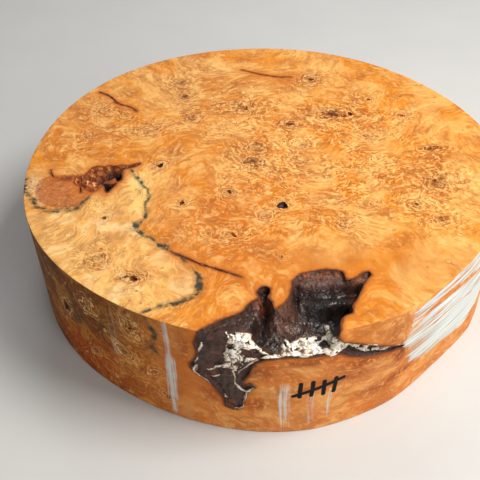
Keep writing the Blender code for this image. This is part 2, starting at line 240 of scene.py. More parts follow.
@dataclass(frozen=True)
class RoundOutline:
    """The outline that the saw left: a circle with slow wander and a flatter right front."""

    diameter: float = 280.0
    height: float = 75.0
    edge_break: float = 0.4
    inset: float = 0.08
    wander: Route = ((2, 1.25, -29), (3, 0.94, 14), (4, 0.79, 10.5), (5, 0.84, -7.4))
    flat: Route = (
        (20, 0, 0), (36, -0.7, -0.7), (50, 0, -1), (68, 1.8, -0.9), (86, 0.5, -1.9), (102, 0.5, -2.4),
        (119, 0.6, -1.5), (133, 0.4, 0.1), (143, 0.3, 1.2), (175, 0, 0.2), (190, 0, 0),
    )
    sampled_sides: int = 144

    def radius(self, angle: Array, height: Array | float) -> Array:
        """Gives the distance from the saw's centre to the side.

        Args:
            angle: angles from +X in radians.
            height: how high over the base.

        Returns:
            The radius at each place in millimetres.
        """
        total = np.full_like(np.asarray(angle, dtype=float), self.diameter / 2)
        for lobes, size, crest in self.wander:
            total = total + size * np.cos(lobes * (angle - math.radians(crest)))
        arc = (np.mod(angle + 1.5 * np.pi, 2 * np.pi) - np.pi) * self.diameter / 2
        arcs, top, base = np.array(self.flat).T
        share = np.clip(height / self.height, 0.0, 1.0)
        return total + blend(np.interp(arc, arcs, base), np.interp(arc, arcs, top), share)

    def middle(self) -> Array:
        """Gives the middle of the box round the outline, which is the model's origin."""
        angles = np.arange(self.sampled_sides) * 2 * np.pi / self.sampled_sides
        reach = self.radius(angles, self.height)
        xs, ys = reach * np.cos(angles), reach * np.sin(angles)
        return np.array(((xs.min() + xs.max()) / 2, (ys.min() + ys.max()) / 2, 0.0))

    def angle(self, arc: Array) -> Array:
        """Turns an arc length from the front into an angle from +X."""
        return arc / (self.diameter / 2) - np.pi / 2

    def arc(self, points: Array) -> Array:
        """Turns places into arc lengths from the front, negative to the left."""
        return np.arctan2(points[:, 0], -points[:, 1]) * self.diameter / 2

    def on_top(self, flat: Array, depth: Array | float) -> Array:
        """Places points, as X and Y, at a depth below the top face."""
        return np.column_stack((flat, self.height - np.broadcast_to(depth, len(flat))))

    def at(self, angle: Array, height: Array, depth: Array | float) -> Array:
        """Places points round the axis."""
        radius = self.radius(angle, height) - self.inset - depth
        return np.column_stack((radius * np.cos(angle), radius * np.sin(angle), height))

    def on_side(self, flat: Array, depth: Array | float) -> Array:
        """Places points, as arc length and height, at a depth inside the side."""
        return self.at(self.angle(flat[:, 0]), flat[:, 1], depth)

    def to_frame(self, points: Array) -> Array:
        """Turns millimetres from the saw's centre into metres in the model's frame."""
        return (points - self.middle()) * MM


OUTLINE = RoundOutline()


def shown(name: str, data: bpy.types.ID) -> Object:
    """Puts data into the scene as a new object at the origin."""
    made = bpy.data.objects.new(name, data)
    bpy.context.scene.collection.objects.link(made)
    return made


def discard(piece: Object) -> None:
    """Removes an object and its mesh."""
    mesh = piece.data
    bpy.data.objects.remove(piece)
    bpy.data.meshes.remove(mesh)


def coordinates(mesh: Mesh) -> Array:
    """Reads a mesh's vertices, one row each."""
    places = np.empty(len(mesh.vertices) * 3)
    mesh.vertices.foreach_get("co", places)
    return places.reshape(-1, 3)


def store(mesh: Mesh, item: "Stored", values: Array) -> None:
    """Keeps a number for each vertex, which a material can read."""
    mesh.attributes.new(item.value, "FLOAT", "POINT").data.foreach_set("value", values)


def mesh_of(name: str, bm: BMesh) -> Mesh:
    """Turns a bmesh, which is used up, into a mesh."""
    mesh = bpy.data.meshes.new(name)
    bm.to_mesh(mesh)
    bm.free()
    return mesh


def fill_slots(mesh: Mesh, materials: Materials) -> None:
    """Puts materials into a mesh's slots."""
    for material in materials:
        mesh.materials.append(material)


def written(name: str, points: Array, faces: list, materials: Materials) -> Object:
    """Writes a piece's mesh into the scene.

    Args:
        name: the object's name.
        points: places in millimetres from the saw's centre.
        faces: corner numbers of each face.
        materials: what goes into the material slots.

    Returns:
        The new object, at the origin.
    """
    mesh = bpy.data.meshes.new(name)
    mesh.from_pydata(OUTLINE.to_frame(points).tolist(), [], faces)
    fill_slots(mesh, materials)
    mesh.validate()
    return shown(name, mesh)


class Field:
    """A number, place or colour that varies over a surface, so that a material reads as a formula."""

    def __init__(self, socket: NodeSocket) -> None:
        """Keeps the node output that carries the value."""
        self.socket = socket

    def _node(self, kind: str) -> Node:
        """Adds a node to the same material."""
        return self.socket.id_data.nodes.new(kind)

    def _math(self, operation: str, *values: "Field | float | tuple", kind: str = "Math") -> "Field":
        """Adds a node that works on the values.

        Args:
            operation: what it does.
            *values: what goes into its inputs in order.
            kind: Math or VectorMath.

        Returns:
            What comes out of it.
        """
        node = self._node("ShaderNode" + kind)
        node.operation = operation
        for slot, value in zip(node.inputs, values):
            plug(slot, value)
        return Field(node.outputs[0])

    def __add__(self, other: "Field | float") -> "Field":
        """Adds."""
        return self._math("ADD", self, other)

    __radd__ = __add__

    def __sub__(self, other: "Field | float") -> "Field":
        """Takes away."""
        return self._math("SUBTRACT", self, other)

    def __rsub__(self, other: float) -> "Field":
        """Is taken away from a number."""
        return self._math("SUBTRACT", other, self)

    def __mul__(self, other: "Field | float") -> "Field":
        """Multiplies."""
        return self._math("MULTIPLY", self, other)

    __rmul__ = __mul__

    def fraction(self) -> "Field":
        """Keeps the part after the decimal point."""
        return self._math("FRACT", self)

    def size(self) -> "Field":
        """Drops the sign."""
        return self._math("ABSOLUTE", self)

    def bell(self) -> "Field":
        """Gives 1 at 0 and fades to both sides like a bell."""
        return self._math("EXPONENT", self * self * -1.0)

    def most(self, other: "Field | float") -> "Field":
        """Takes the larger of two."""
        return self._math("MAXIMUM", self, other)

    def share(self) -> "Field":
        """Keeps the value between 0 and 1."""
        kept = self._math("ADD", self, 0.0)
        kept.socket.node.use_clamp = True
        return kept

    def rises(self, low: float, high: float) -> "Field":
        """Gives a smooth step.

        Args:
            low: the value that gives 0.
            high: the value that gives 1, which may be the smaller one.

        Returns:
            A share from 0 to 1.
        """
        node = self._node("ShaderNodeMapRange")
        node.interpolation_type = "SMOOTHSTEP"
        start, end, first, last = (low, high, 0.0, 1.0) if low < high else (high, low, 1.0, 0.0)
        plug(node.inputs["Value"], self)
        for name, value in (("From Min", start), ("From Max", end), ("To Min", first), ("To Max", last)):
            node.inputs[name].default_value = value
        return Field(node.outputs[0])

    def moved(self, other: "Field", amount: float) -> "Field":
        """Shifts a place by a noise's colour, by no more than the amount each way."""
        centred = self._math("SUBTRACT", other, (0.5, 0.5, 0.5), kind="VectorMath")
        return self._math("MULTIPLY_ADD", centred, (2.0 * amount,) * 3, self, kind="VectorMath")

    def stretched(self, x: float, y: float, z: float) -> "Field":
        """Multiplies a place's three parts."""
        return self._math("MULTIPLY", self, (x, y, z), kind="VectorMath")

    def part(self, axis: int) -> "Field":
        """Takes one part of a place."""
        node = self._node("ShaderNodeSeparateXYZ")
        plug(node.inputs[0], self)
        return Field(node.outputs[axis])

    def tinted(self, colour: "Field | Colour", share: "Field | float", mode: str = "MIX") -> "Field":
        """Lays a colour over this one.

        Args:
            colour: the colour on top.
            share: how much of it shows.
            mode: how the two blend.

        Returns:
            The mixed colour.
        """
        node = self._node("ShaderNodeMix")
        node.data_type = "RGBA"
        node.blend_type = mode
        node.clamp_factor = True
        for slot, value in ((0, share), (6, self), (7, colour)):
            plug(node.inputs[slot], value)
        return Field(node.outputs[2])

    def layers(self, *coats: "Coat") -> "Field":
        """Lays colours over this one in order."""
        colour = self
        for coat, share in coats:
            colour = colour.tinted(coat, share)
        return colour


Coat = tuple[Field | Colour, Field | float]


def plug(slot: NodeSocket, value: "Field | float | tuple") -> None:
    """Sets a node's input to a number or a colour, or links a field to it."""
    if isinstance(value, Field):
        slot.id_data.links.new(value.socket, slot)
    else:
        slot.default_value = value


class Sheet:
    """One material under construction, with the places and noises that its formulas start from."""

    def __init__(self, name: str) -> None:
        """Starts an empty material with a Principled shader."""
        self.material = bpy.data.materials.new(name)
        self.material.use_nodes = True
        self.nodes = self.material.node_tree.nodes
        self.shader = self.nodes["Principled BSDF"]
        self.place = Field(self.nodes.new("ShaderNodeTexCoord").outputs["Object"]).stretched(1e3, 1e3, 1e3)

    def stored(self, *items: "Stored") -> list[Field]:
        """Reads numbers that the mesh holds at each vertex."""
        nodes = [self.nodes.new("ShaderNodeAttribute") for _ in items]
        for node, item in zip(nodes, items):
            node.attribute_name = item.value
        return [Field(node.outputs["Fac"]) for node in nodes]

    def cloud(
        self, grain: float, detail: float = 2.0, place: Field | None = None, along: Field | None = None
    ) -> Field:
        """Reads soft noise.

        Args:
            grain: the size of a cloud in millimetres.
            detail: how many finer layers it has.
            place: where it is read, or nothing for the plain place.
            along: a fourth coordinate, or nothing.

        Returns:
            A number about 0.5.
        """
        node = self.nodes.new("ShaderNodeTexNoise")
        node.noise_dimensions = "4D" if along else "3D"
        plug(node.inputs["Vector"], place or self.place)
        if along:
            plug(node.inputs["W"], along)
        node.inputs["Scale"].default_value = 1.0 / grain
        node.inputs["Detail"].default_value = detail
        return Field(node.outputs[0])

    def drift(self, grain: float, detail: float = 1.0) -> Field:
        """Reads three noises at once, to shift a place with."""
        return Field(self.cloud(grain, detail).socket.node.outputs[1])

    def cells(self, grain: float, place: Field, randomness: float = 1.0) -> tuple[Field, Field]:
        """Reads a cell pattern.

        Args:
            grain: the size of a cell in millimetres.
            place: where it is read.
            randomness: 0 for a grid and 1 for a free scatter.

        Returns:
            The distance to the cell's point in cell sizes, and a random colour for each cell.
        """
        node = self.nodes.new("ShaderNodeTexVoronoi")
        plug(node.inputs["Vector"], place)
        node.inputs["Scale"].default_value = 1.0 / grain
        node.inputs["Randomness"].default_value = randomness
        return Field(node.outputs["Distance"]), Field(node.outputs["Color"])

    def joined(self, x: Field | float, y: Field | float, z: Field | float) -> Field:
        """Makes a place from three numbers."""
        node = self.nodes.new("ShaderNodeCombineXYZ")
        for slot, value in zip(node.inputs, (x, y, z)):
            plug(slot, value)
        return Field(node.outputs[0])

    def colour(self, value: Colour) -> Field:
        """Starts a colour that other colours are laid over."""
        node = self.nodes.new("ShaderNodeRGB")
        node.outputs[0].default_value = value
        return Field(node.outputs[0])

    def finish(
        self, colour: Field, roughness: Field | float, height: Field, depth: float, **fixed: float
    ) -> Material:
        """Wires up the shader.

        Args:
            colour: the base colour.
            roughness: the roughness.
            height: the relief, from 0 to 1.
            depth: how tall that relief is in millimetres.
            **fixed: other inputs of the shader by name, with _ for each space.

        Returns:
            The finished material.
        """
        bump = self.nodes.new("ShaderNodeBump")
        bump.inputs["Strength"].default_value = 1.0
        bump.inputs["Distance"].default_value = depth * MM
        plug(bump.inputs["Height"], height)
        plug(self.shader.inputs["Base Color"], colour)
        plug(self.shader.inputs["Roughness"], roughness)
        plug(self.shader.inputs["Normal"], Field(bump.outputs[0]))
        for name, value in fixed.items():
            self.shader.inputs[name.replace("_", " ")].default_value = value
        return self.material


class Stored(Enum):
    """The numbers that the meshes hold at each vertex for their materials."""

    STAIN = "stain_line"
    PALE = "pale_side"
    PATCH = "bark_patch"
    HALO = "bark_halo"
    KNOT = "knot"
    KNOT_INK = "knot_ink"
    EYES = "eye_density"
    GLOW = "glow"
    BROWN = "brown"
    CALM = "calm"
    SIDE = "side"
    ARC = "arc"
    SUNK = "sunk"
    WAX = "wax"
    # Darker left side: partly the wood's own tone, partly painted shade.
    LEFT_TONE_AND_SHADE = "left_tone_and_shade"
    FLOW = "flow"
    MOULD = "mould"
    EMBER = "ember"
    GLOSS = "gloss"
    TORN = "torn_stain"
    BUTTER = "butter"
    CREST = "crest"


@dataclass(frozen=True)
class BurlFinish:
    """The sawn and oiled burl: streaks that wrap round eyes and knots, over honey, cream and orange, and
    painted shade on the left.
    """

    honey: Colour = srgb(218, 132, 26)
    cream: Colour = srgb(238, 184, 106)
    butter: Colour = srgb(244, 206, 120)
    pearl: Colour = srgb(248, 218, 160)
    orange: Colour = srgb(208, 114, 16)
    tan: Colour = srgb(172, 98, 42)
    pink: Colour = srgb(194, 106, 60)
    # Olive-brown of the left side: partly its own tone, partly painted shade.
    left_tone_and_shade: Colour = srgb(112, 72, 2)
    ember: Colour = srgb(208, 98, 0)
    # Multiplied over the left side as painted shade.
    shade: Colour = srgb(214, 180, 76)
    dun: Colour = srgb(188, 134, 78)
    stroke: Colour = srgb(146, 68, 18)
    line: Colour = srgb(98, 44, 18)
    rust: Colour = srgb(146, 66, 26)
    eye_core: Colour = srgb(66, 30, 14)
    eye_ring: Colour = srgb(252, 212, 136)
    stain: Colour = srgb(44, 54, 44)
    patch: Colour = srgb(190, 112, 62)
    mould: Colour = srgb(206, 206, 190)
    wax: Colour = srgb(200, 209, 208)
    chalk: Colour = srgb(226, 232, 230)
    # Grey-brown painted shade in the low, thin streaks of the wax.
    wax_streak_shade: Colour = srgb(164, 146, 124)
    drips: Route = (
        (-53.6, 2, 2, 84, 1), (-53, 3.2, 14, 50, 1.2), (6.3, 1.2, 8, 40, 1.1), (3.7, 0.9, 2, 36, 1.1),
        (5, 4.8, 2, 42, 0.6), (19, 3, 4, 34, 0.55), (27.7, 1.3, 9, 33, 0.85), (-87, 3.4, 30, 70, 0.45),
        (71.5, 1.8, 50, 74, 0.8),
    )

    def material(self) -> Material:
        """Builds the material.

        Returns:
            The burl's material.
        """
        sheet = Sheet("burl_wood")
        pale, left_tone_and_shade, glow, side, calm = sheet.stored(
            Stored.PALE, Stored.LEFT_TONE_AND_SHADE, Stored.GLOW, Stored.SIDE, Stored.CALM
        )
        eyes, knot, flow = sheet.stored(Stored.EYES, Stored.KNOT, Stored.FLOW)
        brown, butter = sheet.stored(Stored.BROWN, Stored.BUTTER)
        bent = sheet.place.moved(sheet.drift(30.0, 2.0), 9.0).moved(sheet.drift(7.0), 1.6)
        busy = 1.0 - calm
        crowd = eyes * (sheet.cloud(13.0, 2.0).rises(0.4, 0.58) * 0.85 + 0.15)

        eye, ring, eye_bump = self._eyes(sheet, bent, crowd, 6.0, (0.8, 2.1))
        pip, pip_ring, pip_bump = self._eyes(sheet, bent, crowd * 1.3, 3.0, (0.4, 0.95))
        growth = flow + sheet.cloud(34.0, 2.0, bent) * 8.0
        growth = growth + eye_bump * 0.8 + pip_bump * 0.3 + knot.bell() * 2.4

        broad = sheet.cloud(18.0, 2.0, bent, growth * 8.0)
        fibre = sheet.cloud(8.0, 2.5, bent, growth * 18.0)
        curl = sheet.cloud(2.7, 1.0, bent.moved(sheet.drift(4.5, 1.0), 2.6), growth * 7.0)
        mottle = sheet.cloud(2.4, 3.0, bent, growth * 4.0)
        patchy = sheet.cloud(14.0, 3.0, bent)
        depth = busy * 0.5 + 0.4
        close = busy * 0.85 + 0.08
        combed = sheet.cloud(16.0, 1.0).rises(0.36, 0.56) * close
        near = (knot.rises(2.6, 0.9) * 0.6 + crowd * 1.8).share()
        # The left side's painted shade, less where it glows orange; darker lines and olive stain lie more
        # strongly under it.
        gloom = left_tone_and_shade * (1.0 - glow * 0.8)
        deeper = sheet.colour(self.tan).tinted(self.dun, pale * 0.85)

        colour = sheet.colour(self.honey).layers(
            (self.cream, sheet.cloud(34.0, 3.0, bent).rises(0.44, 0.62) * 0.6),
            (self.tan, sheet.cloud(20.0, 3.0, bent).rises(0.5, 0.68) * 0.4),
            (self.cream, pale * 0.6),
            (self.pearl, patchy.rises(0.5, 0.36) * pale * 0.65),
            (self.dun, patchy.rises(0.52, 0.66) * pale * 0.65),
            (self.orange, glow * 0.8),
            (self.tan, brown * 0.65),
            (self.pink, side * (1.0 - left_tone_and_shade) * 0.5),
            # Painted shade and darker tone on the left side.
            (self.left_tone_and_shade, left_tone_and_shade * 0.88),
            (self.ember, (glow * left_tone_and_shade * 1.6).share()),
            (deeper, broad.rises(0.5, 0.66) * 0.6 * depth),
            (self.cream, broad.rises(0.5, 0.34) * 0.55 * depth),
            (deeper, mottle.rises(0.5, 0.64) * 0.22 * close),
            (self.eye_ring, mottle.rises(0.49, 0.36) * 0.2 * close),
            (deeper, fibre.rises(0.5, 0.64) * 0.6 * combed),
            (self.eye_ring, fibre.rises(0.48, 0.34) * 0.42 * combed),
            (self.stroke, curl.rises(0.53, 0.62) * (near * 0.6 + 0.05) * (close * (1.0 - pale * 0.5))),
            (self.eye_ring, curl.rises(0.46, 0.37) * (near * 0.55 + 0.05) * close * (1.0 - left_tone_and_shade * 0.6)),
        )
        # Painted shade: the left side is multiplied darker, and its lines and stains are laid more strongly
        # there.
        colour = colour.tinted(self.shade, left_tone_and_shade * 0.9, "MULTIPLY").layers(
            (self.line, curl.rises(0.56, 0.64) * left_tone_and_shade * 0.6),
            (self.line, broad.rises(0.48, 0.64) * gloom * 0.55),
            (self.stain, patchy.rises(0.5, 0.66) * gloom * 0.6),
            (self.eye_ring, (ring * 0.5 + pip_ring * 0.4) * busy),
            (self.line, eye * 0.85),
            (self.stroke, pip * 0.9),
            (self.butter, butter * fibre.rises(0.66, 0.5) * 0.7),
        )
        colour = colour.layers(
            *self._knots(sheet, knot, curl), *self._patch(sheet, bent), *self._stains(sheet, bent)
        )
        smear, wax = self._wax(sheet)

        relief = fibre * 0.3 + sheet.cloud(0.7, 2.0, bent) * 0.35 + wax * 1.2 - eye * 0.3
        roughness = 0.42 + fibre * 0.2 + side * 0.14
        colour = colour.tinted(smear, wax * 0.96)
        return sheet.finish(colour, roughness, relief, 0.16, Specular_IOR_Level=0.16)

    def _eyes(
        self, sheet: Sheet, place: Field, density: Field, grain: float, sizes: tuple[float, float]
    ) -> tuple[Field, Field, Field]:
        """Scatters bud eyes: a dark core in a lighter ring.

        Args:
            sheet: the material.
            place: the bent place.
            density: the share of cells that hold an eye.
            grain: the size of a cell.
            sizes: the least and the greatest radius.

        Returns:
            The cores, the rings and the hump that growth lines wrap round, each from 0 to 1.
        """
        wobbly = place.moved(sheet.drift(grain * 0.4), grain * 0.2)
        distance, random = sheet.cells(grain, wobbly)
        present = (density - random.part(0)).rises(-0.03, 0.06)
        radius = random.part(1) * (sizes[1] - sizes[0]) + sizes[0]
        reach = distance * grain - radius
        core = (reach + radius * 0.6).rises(0.2, -0.15) * random.part(2).rises(0.25, 0.5)
        outline = reach.size().rises(0.4, 0.05) * random.part(2).rises(0.8, 0.35)
        ring = reach.rises(0.3, -0.3) * present
        hump = reach.rises(2.4, -sum(sizes) / 2) * present
        return (core + outline * 0.7).share() * present, ring, hump

    def _knots(self, sheet: Sheet, knot: Field, fleck: Field) -> list[Coat]:
        """Draws the broken rings and the dark heart of each placed knot.

        Args:
            sheet: the material.
            knot: the distance to the nearest knot in its radii.
            fleck: the noise that breaks its heart up.

        Returns:
            The colours to lay on.
        """
        ink, left_tone_and_shade = sheet.stored(Stored.KNOT_INK, Stored.LEFT_TONE_AND_SHADE)
        wobble = knot + (sheet.cloud(4.5, 2.5) - 0.5) * 1.7
        near = wobble.rises(1.5, 0.7)
        rings = ((wobble * 2.2).fraction() - 0.5).size() * 2.0
        broken = sheet.cloud(3.5, 2.0).rises(0.44, 0.58)
        return [
            (self.tan, near * 0.3),
            (self.stroke, near * broken * rings.rises(0.4, 0.9) * (ink * 0.3 + 0.5)),
            (self.eye_ring, near * rings.rises(0.5, 0.1) * (0.4 + broken * left_tone_and_shade * 0.5)),
            (self.line, wobble.rises(1.0, 0.4) * fleck.rises(0.5, 0.6) * ink),
            (self.eye_core, wobble.rises(0.4, 0.15) * ink * 0.9),
        ]

    def _patch(self, sheet: Sheet, bent: Field) -> list[Coat]:
        """Colours the smooth bark patch, its mould, the halo round every bark edge and the torn wood.

        Args:
            sheet: the material.
            bent: the bent place.

        Returns:
            The colours to lay on.
        """
        edge, mould, halo, torn = sheet.stored(Stored.PATCH, Stored.MOULD, Stored.HALO, Stored.TORN)
        ragged = edge + (sheet.cloud(2.4, 2.0) - 0.5) * 1.6
        halo = halo + (sheet.cloud(4.0, 2.0) - 0.5) * 2.2
        torn = torn * sheet.cloud(2.4, 3.0, bent).rises(0.32, 0.54)
        patch = sheet.colour(self.patch).layers(
            (self.tan, sheet.cloud(1.4, 3.0, bent).rises(0.4, 0.62)),
            (self.line, sheet.cloud(5.0, 3.0).rises(0.5, 0.7) * 0.4),
            (self.cream, sheet.cloud(3.0, 3.0, bent).rises(0.56, 0.7) * 0.35),
        )
        return [
            (patch, ragged.rises(-0.3, 0.4) * 0.95),
            (self.stain, mould * sheet.cloud(2.0, 3.0, bent).rises(0.48, 0.62) * 0.6),
            (self.mould, mould * sheet.cloud(1.3, 3.0).rises(0.47, 0.6) * 0.8),
            (self.orange, halo.rises(8.0, 1.0) * 0.55),
            (self.tan, halo.rises(3.4, 0.4) * 0.65),
            (self.line, halo.rises(1.7, 0.1) * 0.9),
            (self.rust, (torn * 2.2).share() * 0.75),
            (self.line, torn.rises(0.4, 1.0) * 0.7),
        ]

    def _stains(self, sheet: Sheet, bent: Field) -> list[Coat]:
        """Draws the blue-black fungus lines.

        Args:
            sheet: the material.
            bent: the bent place.

        Returns:
            The colours to lay on.
        """
        ragged = sheet.stored(Stored.STAIN)[0] + (sheet.cloud(2.4, 3.0) - 0.5) * 1.8
        broken = sheet.cloud(4.0, 2.0, bent).rises(0.4, 0.6)
        soft, sharp = ragged.rises(3.4, 0.0) * broken * 0.4, ragged.rises(0.9, -0.4) * (0.4 + broken * 0.55)
        return [(self.stain, soft), (self.stain, sharp)]

    def _wax(self, sheet: Sheet) -> tuple[Field, Field]:
        """Smears white wax over the side, with grey-brown painted shade in its low, thin streaks.

        Args:
            sheet: the material.

        Returns:
            The wax's colour, and where the wax is.
        """
        thick, arc, side = sheet.stored(Stored.WAX, Stored.ARC, Stored.SIDE)
        height = sheet.place.part(2)
        tilted = height + arc * 0.02
        streaks = sheet.cloud(2.6, 4.0, sheet.joined(arc * 0.05, tilted, 0.0))
        bristles = sheet.cloud(0.9, 2.0, sheet.joined(arc * 0.03, tilted, 7.0))
        swayed = arc + (sheet.cloud(30.0, 1.0) - 0.5) * 4.0
        combed = sheet.cloud(0.9, 2.0, sheet.joined(swayed, height * 0.03, 4.0))
        drip = sheet.colour((0.0, 0.0, 0.0, 1.0)).part(0)
        for place, reach, low, high, strength in self.drips:
            across = ((swayed - place) * (1.0 / reach)).bell()
            run = across * height.rises(low - 3.0, low + 4.0) * height.rises(high + 5.0, high - 5.0)
            drip = drip.most(run * strength)
        brushed = ((streaks - 0.5) * 2.0 + (bristles - 0.5) * 2.4) * thick.rises(0.0, 0.4)
        cover = thick * 1.05 + brushed - height.rises(40.0, 74.0) * 0.25
        run = drip + ((combed - 0.5) * 2.2 + (sheet.cloud(5.0, 3.0) - 0.5) * 0.8) * drip.rises(0.0, 0.6)
        smear = sheet.colour(self.wax).layers(
            # Painted shade where the wax lies thin and its streaks run low.
            (self.wax_streak_shade, thick * cover.rises(1.3, 0.6) * streaks.rises(0.6, 0.42) * 0.6),
            (self.chalk, thick * bristles.rises(0.5, 0.64) * 0.7),
        )
        return smear, (cover.rises(0.3, 0.75) + run.rises(0.25, 1.3) * 0.85).share() * side


@dataclass(frozen=True)
class BarkFinish:
    """Ingrown bark: near black and glinting where deep, partly its own dark and partly painted shade, and
    brown and satin where nearly flush.
    """

    deep: Colour = srgb(15, 10, 9)
    ridge: Colour = srgb(74, 46, 36)
    flush: Colour = srgb(78, 44, 30)
    warm: Colour = srgb(168, 84, 28)
    ramp: Colour = srgb(104, 68, 54)

    def material(self) -> Material:
        """Builds the material.

        Returns:
            The bark's material.
        """
        sheet = Sheet("ingrown_bark")
        sunk, gloss, ember, brown = sheet.stored(Stored.SUNK, Stored.GLOSS, Stored.EMBER, Stored.BROWN)
        coarse = sheet.cloud(6.0, 3.0)
        fine = sheet.cloud(0.9, 4.0)
        drifted = sheet.place.moved(sheet.drift(9.0, 2.0), 2.0)
        flakes = sheet.cloud(2.2, 4.0, drifted.stretched(1.0, 1.0, 0.12))
        shallow = sunk.rises(5.0, 2.4)
        # Partly painted shade: the bark starts near black and turns brown only where it lies near the face.
        colour = sheet.colour(self.deep).layers(
            (self.ridge, coarse.rises(0.42, 0.66) * (0.2 + fine * 0.9) * (1.0 - gloss * 0.7)),
            (self.flush, shallow * (0.4 + flakes * 0.7)),
            (self.deep, shallow * flakes.rises(0.48, 0.6) * 0.75),
            (self.warm, shallow * coarse.rises(0.56, 0.72) * 0.3),
            (self.warm, ember * flakes.rises(0.62, 0.44)),
            (self.ramp, brown * (fine * 2.2 - 0.35).share()),
            (self.deep, brown * flakes.rises(0.52, 0.6) * 0.7),
        )
        distance, _ = sheet.cells(1.5, sheet.place.moved(sheet.drift(2.5), 0.7))
        bare = (1.0 - gloss) * 0.6 + 0.4
        relief = (fine * 0.6 - distance * 0.9) * bare + coarse * 0.6 + flakes * shallow * 0.5
        return sheet.finish(colour, 0.22 + fine * 0.22 + shallow * 0.22, relief, 0.5, Specular_IOR_Level=0.5)


@dataclass(frozen=True)
class TornFinish:
    """Wood torn round a void or inside a crack, darker the deeper it lies as painted shade."""

    amber: Colour = srgb(192, 106, 36)
    brown: Colour = srgb(122, 60, 24)
    dark: Colour = srgb(26, 14, 9)
    pale: Colour = srgb(236, 196, 150)

    def material(self) -> Material:
        """Builds the material.

        Returns:
            The torn wood's material.
        """
        sheet = Sheet("torn_wood")
        (sunk,) = sheet.stored(Stored.SUNK)
        coarse = sheet.cloud(3.4, 3.0)
        fine = sheet.cloud(0.8, 3.0)
        colour = sheet.colour(self.brown).layers(
            (self.amber, coarse.rises(0.46, 0.6) * sunk.rises(5.0, 1.0)),
            (self.pale, coarse.rises(0.6, 0.7) * sunk.rises(4.5, 2.0) * 0.85),
            # Painted shade: dark flecks crowd together the deeper the torn wood lies.
            (self.dark, (sunk * 0.13 + (fine - 0.5) * 1.3).rises(0.36, 0.84)),
        )
        distance, _ = sheet.cells(1.8, sheet.place.moved(sheet.drift(2.5), 0.8))
        relief = fine * 0.9 + coarse * 0.7 - distance * 0.4
        return sheet.finish(colour, 0.5 + fine * 0.3, relief, 0.5, Specular_IOR_Level=0.3)


@dataclass(frozen=True)
class RotFinish:
    """White rot: chalky cream on its crests, and painted shade that turns it brown in the folds between them.
    """

    white: Colour = srgb(246, 242, 234)
    cream: Colour = srgb(212, 194, 168)
    # Brown painted shade in the folds.
    fold: Colour = srgb(88, 56, 36)

    def material(self) -> Material:
        """Builds the material.

        Returns:
            The rot's material.
        """
        sheet = Sheet("white_rot")
        (crest,) = sheet.stored(Stored.CREST)
        fine = sheet.cloud(0.5, 3.0)
        colour = sheet.colour(self.white).layers(
            (self.cream, sheet.cloud(3.5, 3.0).rises(0.46, 0.62) * 0.7),
            # Painted shade by height: cream lower down and brown in the folds.
            (self.cream, crest.rises(0.8, 0.4) * 0.8),
            (self.fold, (crest + (fine - 0.5) * 0.5).rises(0.52, 0.2) * 0.9),
        )
        return sheet.finish(colour, 0.75, fine, 0.15, Specular_IOR_Level=0.3)


@dataclass(frozen=True)
class InkFinish:
    """Felt pen on raw wood: almost black, a little thinner where the stroke ran dry."""

    ink: Colour = srgb(8, 9, 13)
    thin: Colour = srgb(30, 28, 30)

    def material(self) -> Material:
        """Builds the material.

        Returns:
            The ink's material.
        """
        sheet = Sheet("felt_pen")
        fine = sheet.cloud(0.8, 3.0)
        colour = sheet.colour(self.ink).tinted(self.thin, fine.rises(0.45, 0.7) * 0.5)
        return sheet.finish(colour, 0.6, fine, 0.03, Specular_IOR_Level=0.12)


@dataclass
class Hollow:
    """Something missing from the round: a mouth on a face, and a relief behind it."""

    name: str
    mouth: Route
    step: float
    slot: int
    wall_slope: float
    on_side: bool = False
    lip: float = 0.7
    stand: float = 6.0

    def floor_depth(self, flat: Array) -> Array:
        """Gives the depth behind the face, away from the walls."""
        raise NotImplementedError

    def ring(self) -> Array:
        """Gives the mouth's outline as close points."""
        return smooth_route(self.mouth, self.step, closed=True)

    def cutter(self) -> Object:
        """Builds the closed solid that is taken out of the drum.

        Returns:
            The cutter, in millimetres.
        """
        ring = self.ring()
        flat = np.vstack((ring, filling_points(ring, self.step)))
        flat, triangles, _ = triangulated(flat, [], [list(range(len(ring)))], 1, 1e-4)
        wall = self.lip + self.wall_slope * np.maximum(0.0, ring_distance(flat, ring))
        depth = np.minimum(self.floor_depth(flat), wall)
        place = OUTLINE.on_side if self.on_side else OUTLINE.on_top
        bm = bmesh.new()
        inner = [bm.verts.new(p) for p in place(flat, depth).tolist()]
        outer = [bm.verts.new(p) for p in place(flat, -self.stand).tolist()]
        for a, b, c in triangles:
            bm.faces.new((inner[a], inner[b], inner[c]))
            bm.faces.new((outer[c], outer[b], outer[a]))
        bmesh.ops.bridge_loops(bm, edges=[edge for edge in bm.edges if edge.is_boundary])
        return cutter_object(self.name, bm, self.slot)


def cutter_object(name: str, bm: BMesh, slot: int) -> Object:
    """Turns a bmesh into a cutter object in millimetres.

    Args:
        name: the object's name.
        bm: the closed shape, which is used up.
        slot: the material slot of the faces that it cuts.

    Returns:
        The object, not linked to the scene yet.
    """
    bmesh.ops.triangulate(bm, faces=bm.faces)
    bmesh.ops.recalc_face_normals(bm, faces=bm.faces)
    for face in bm.faces:
        face.material_index = slot
    return bpy.data.objects.new(name, mesh_of(name, bm))


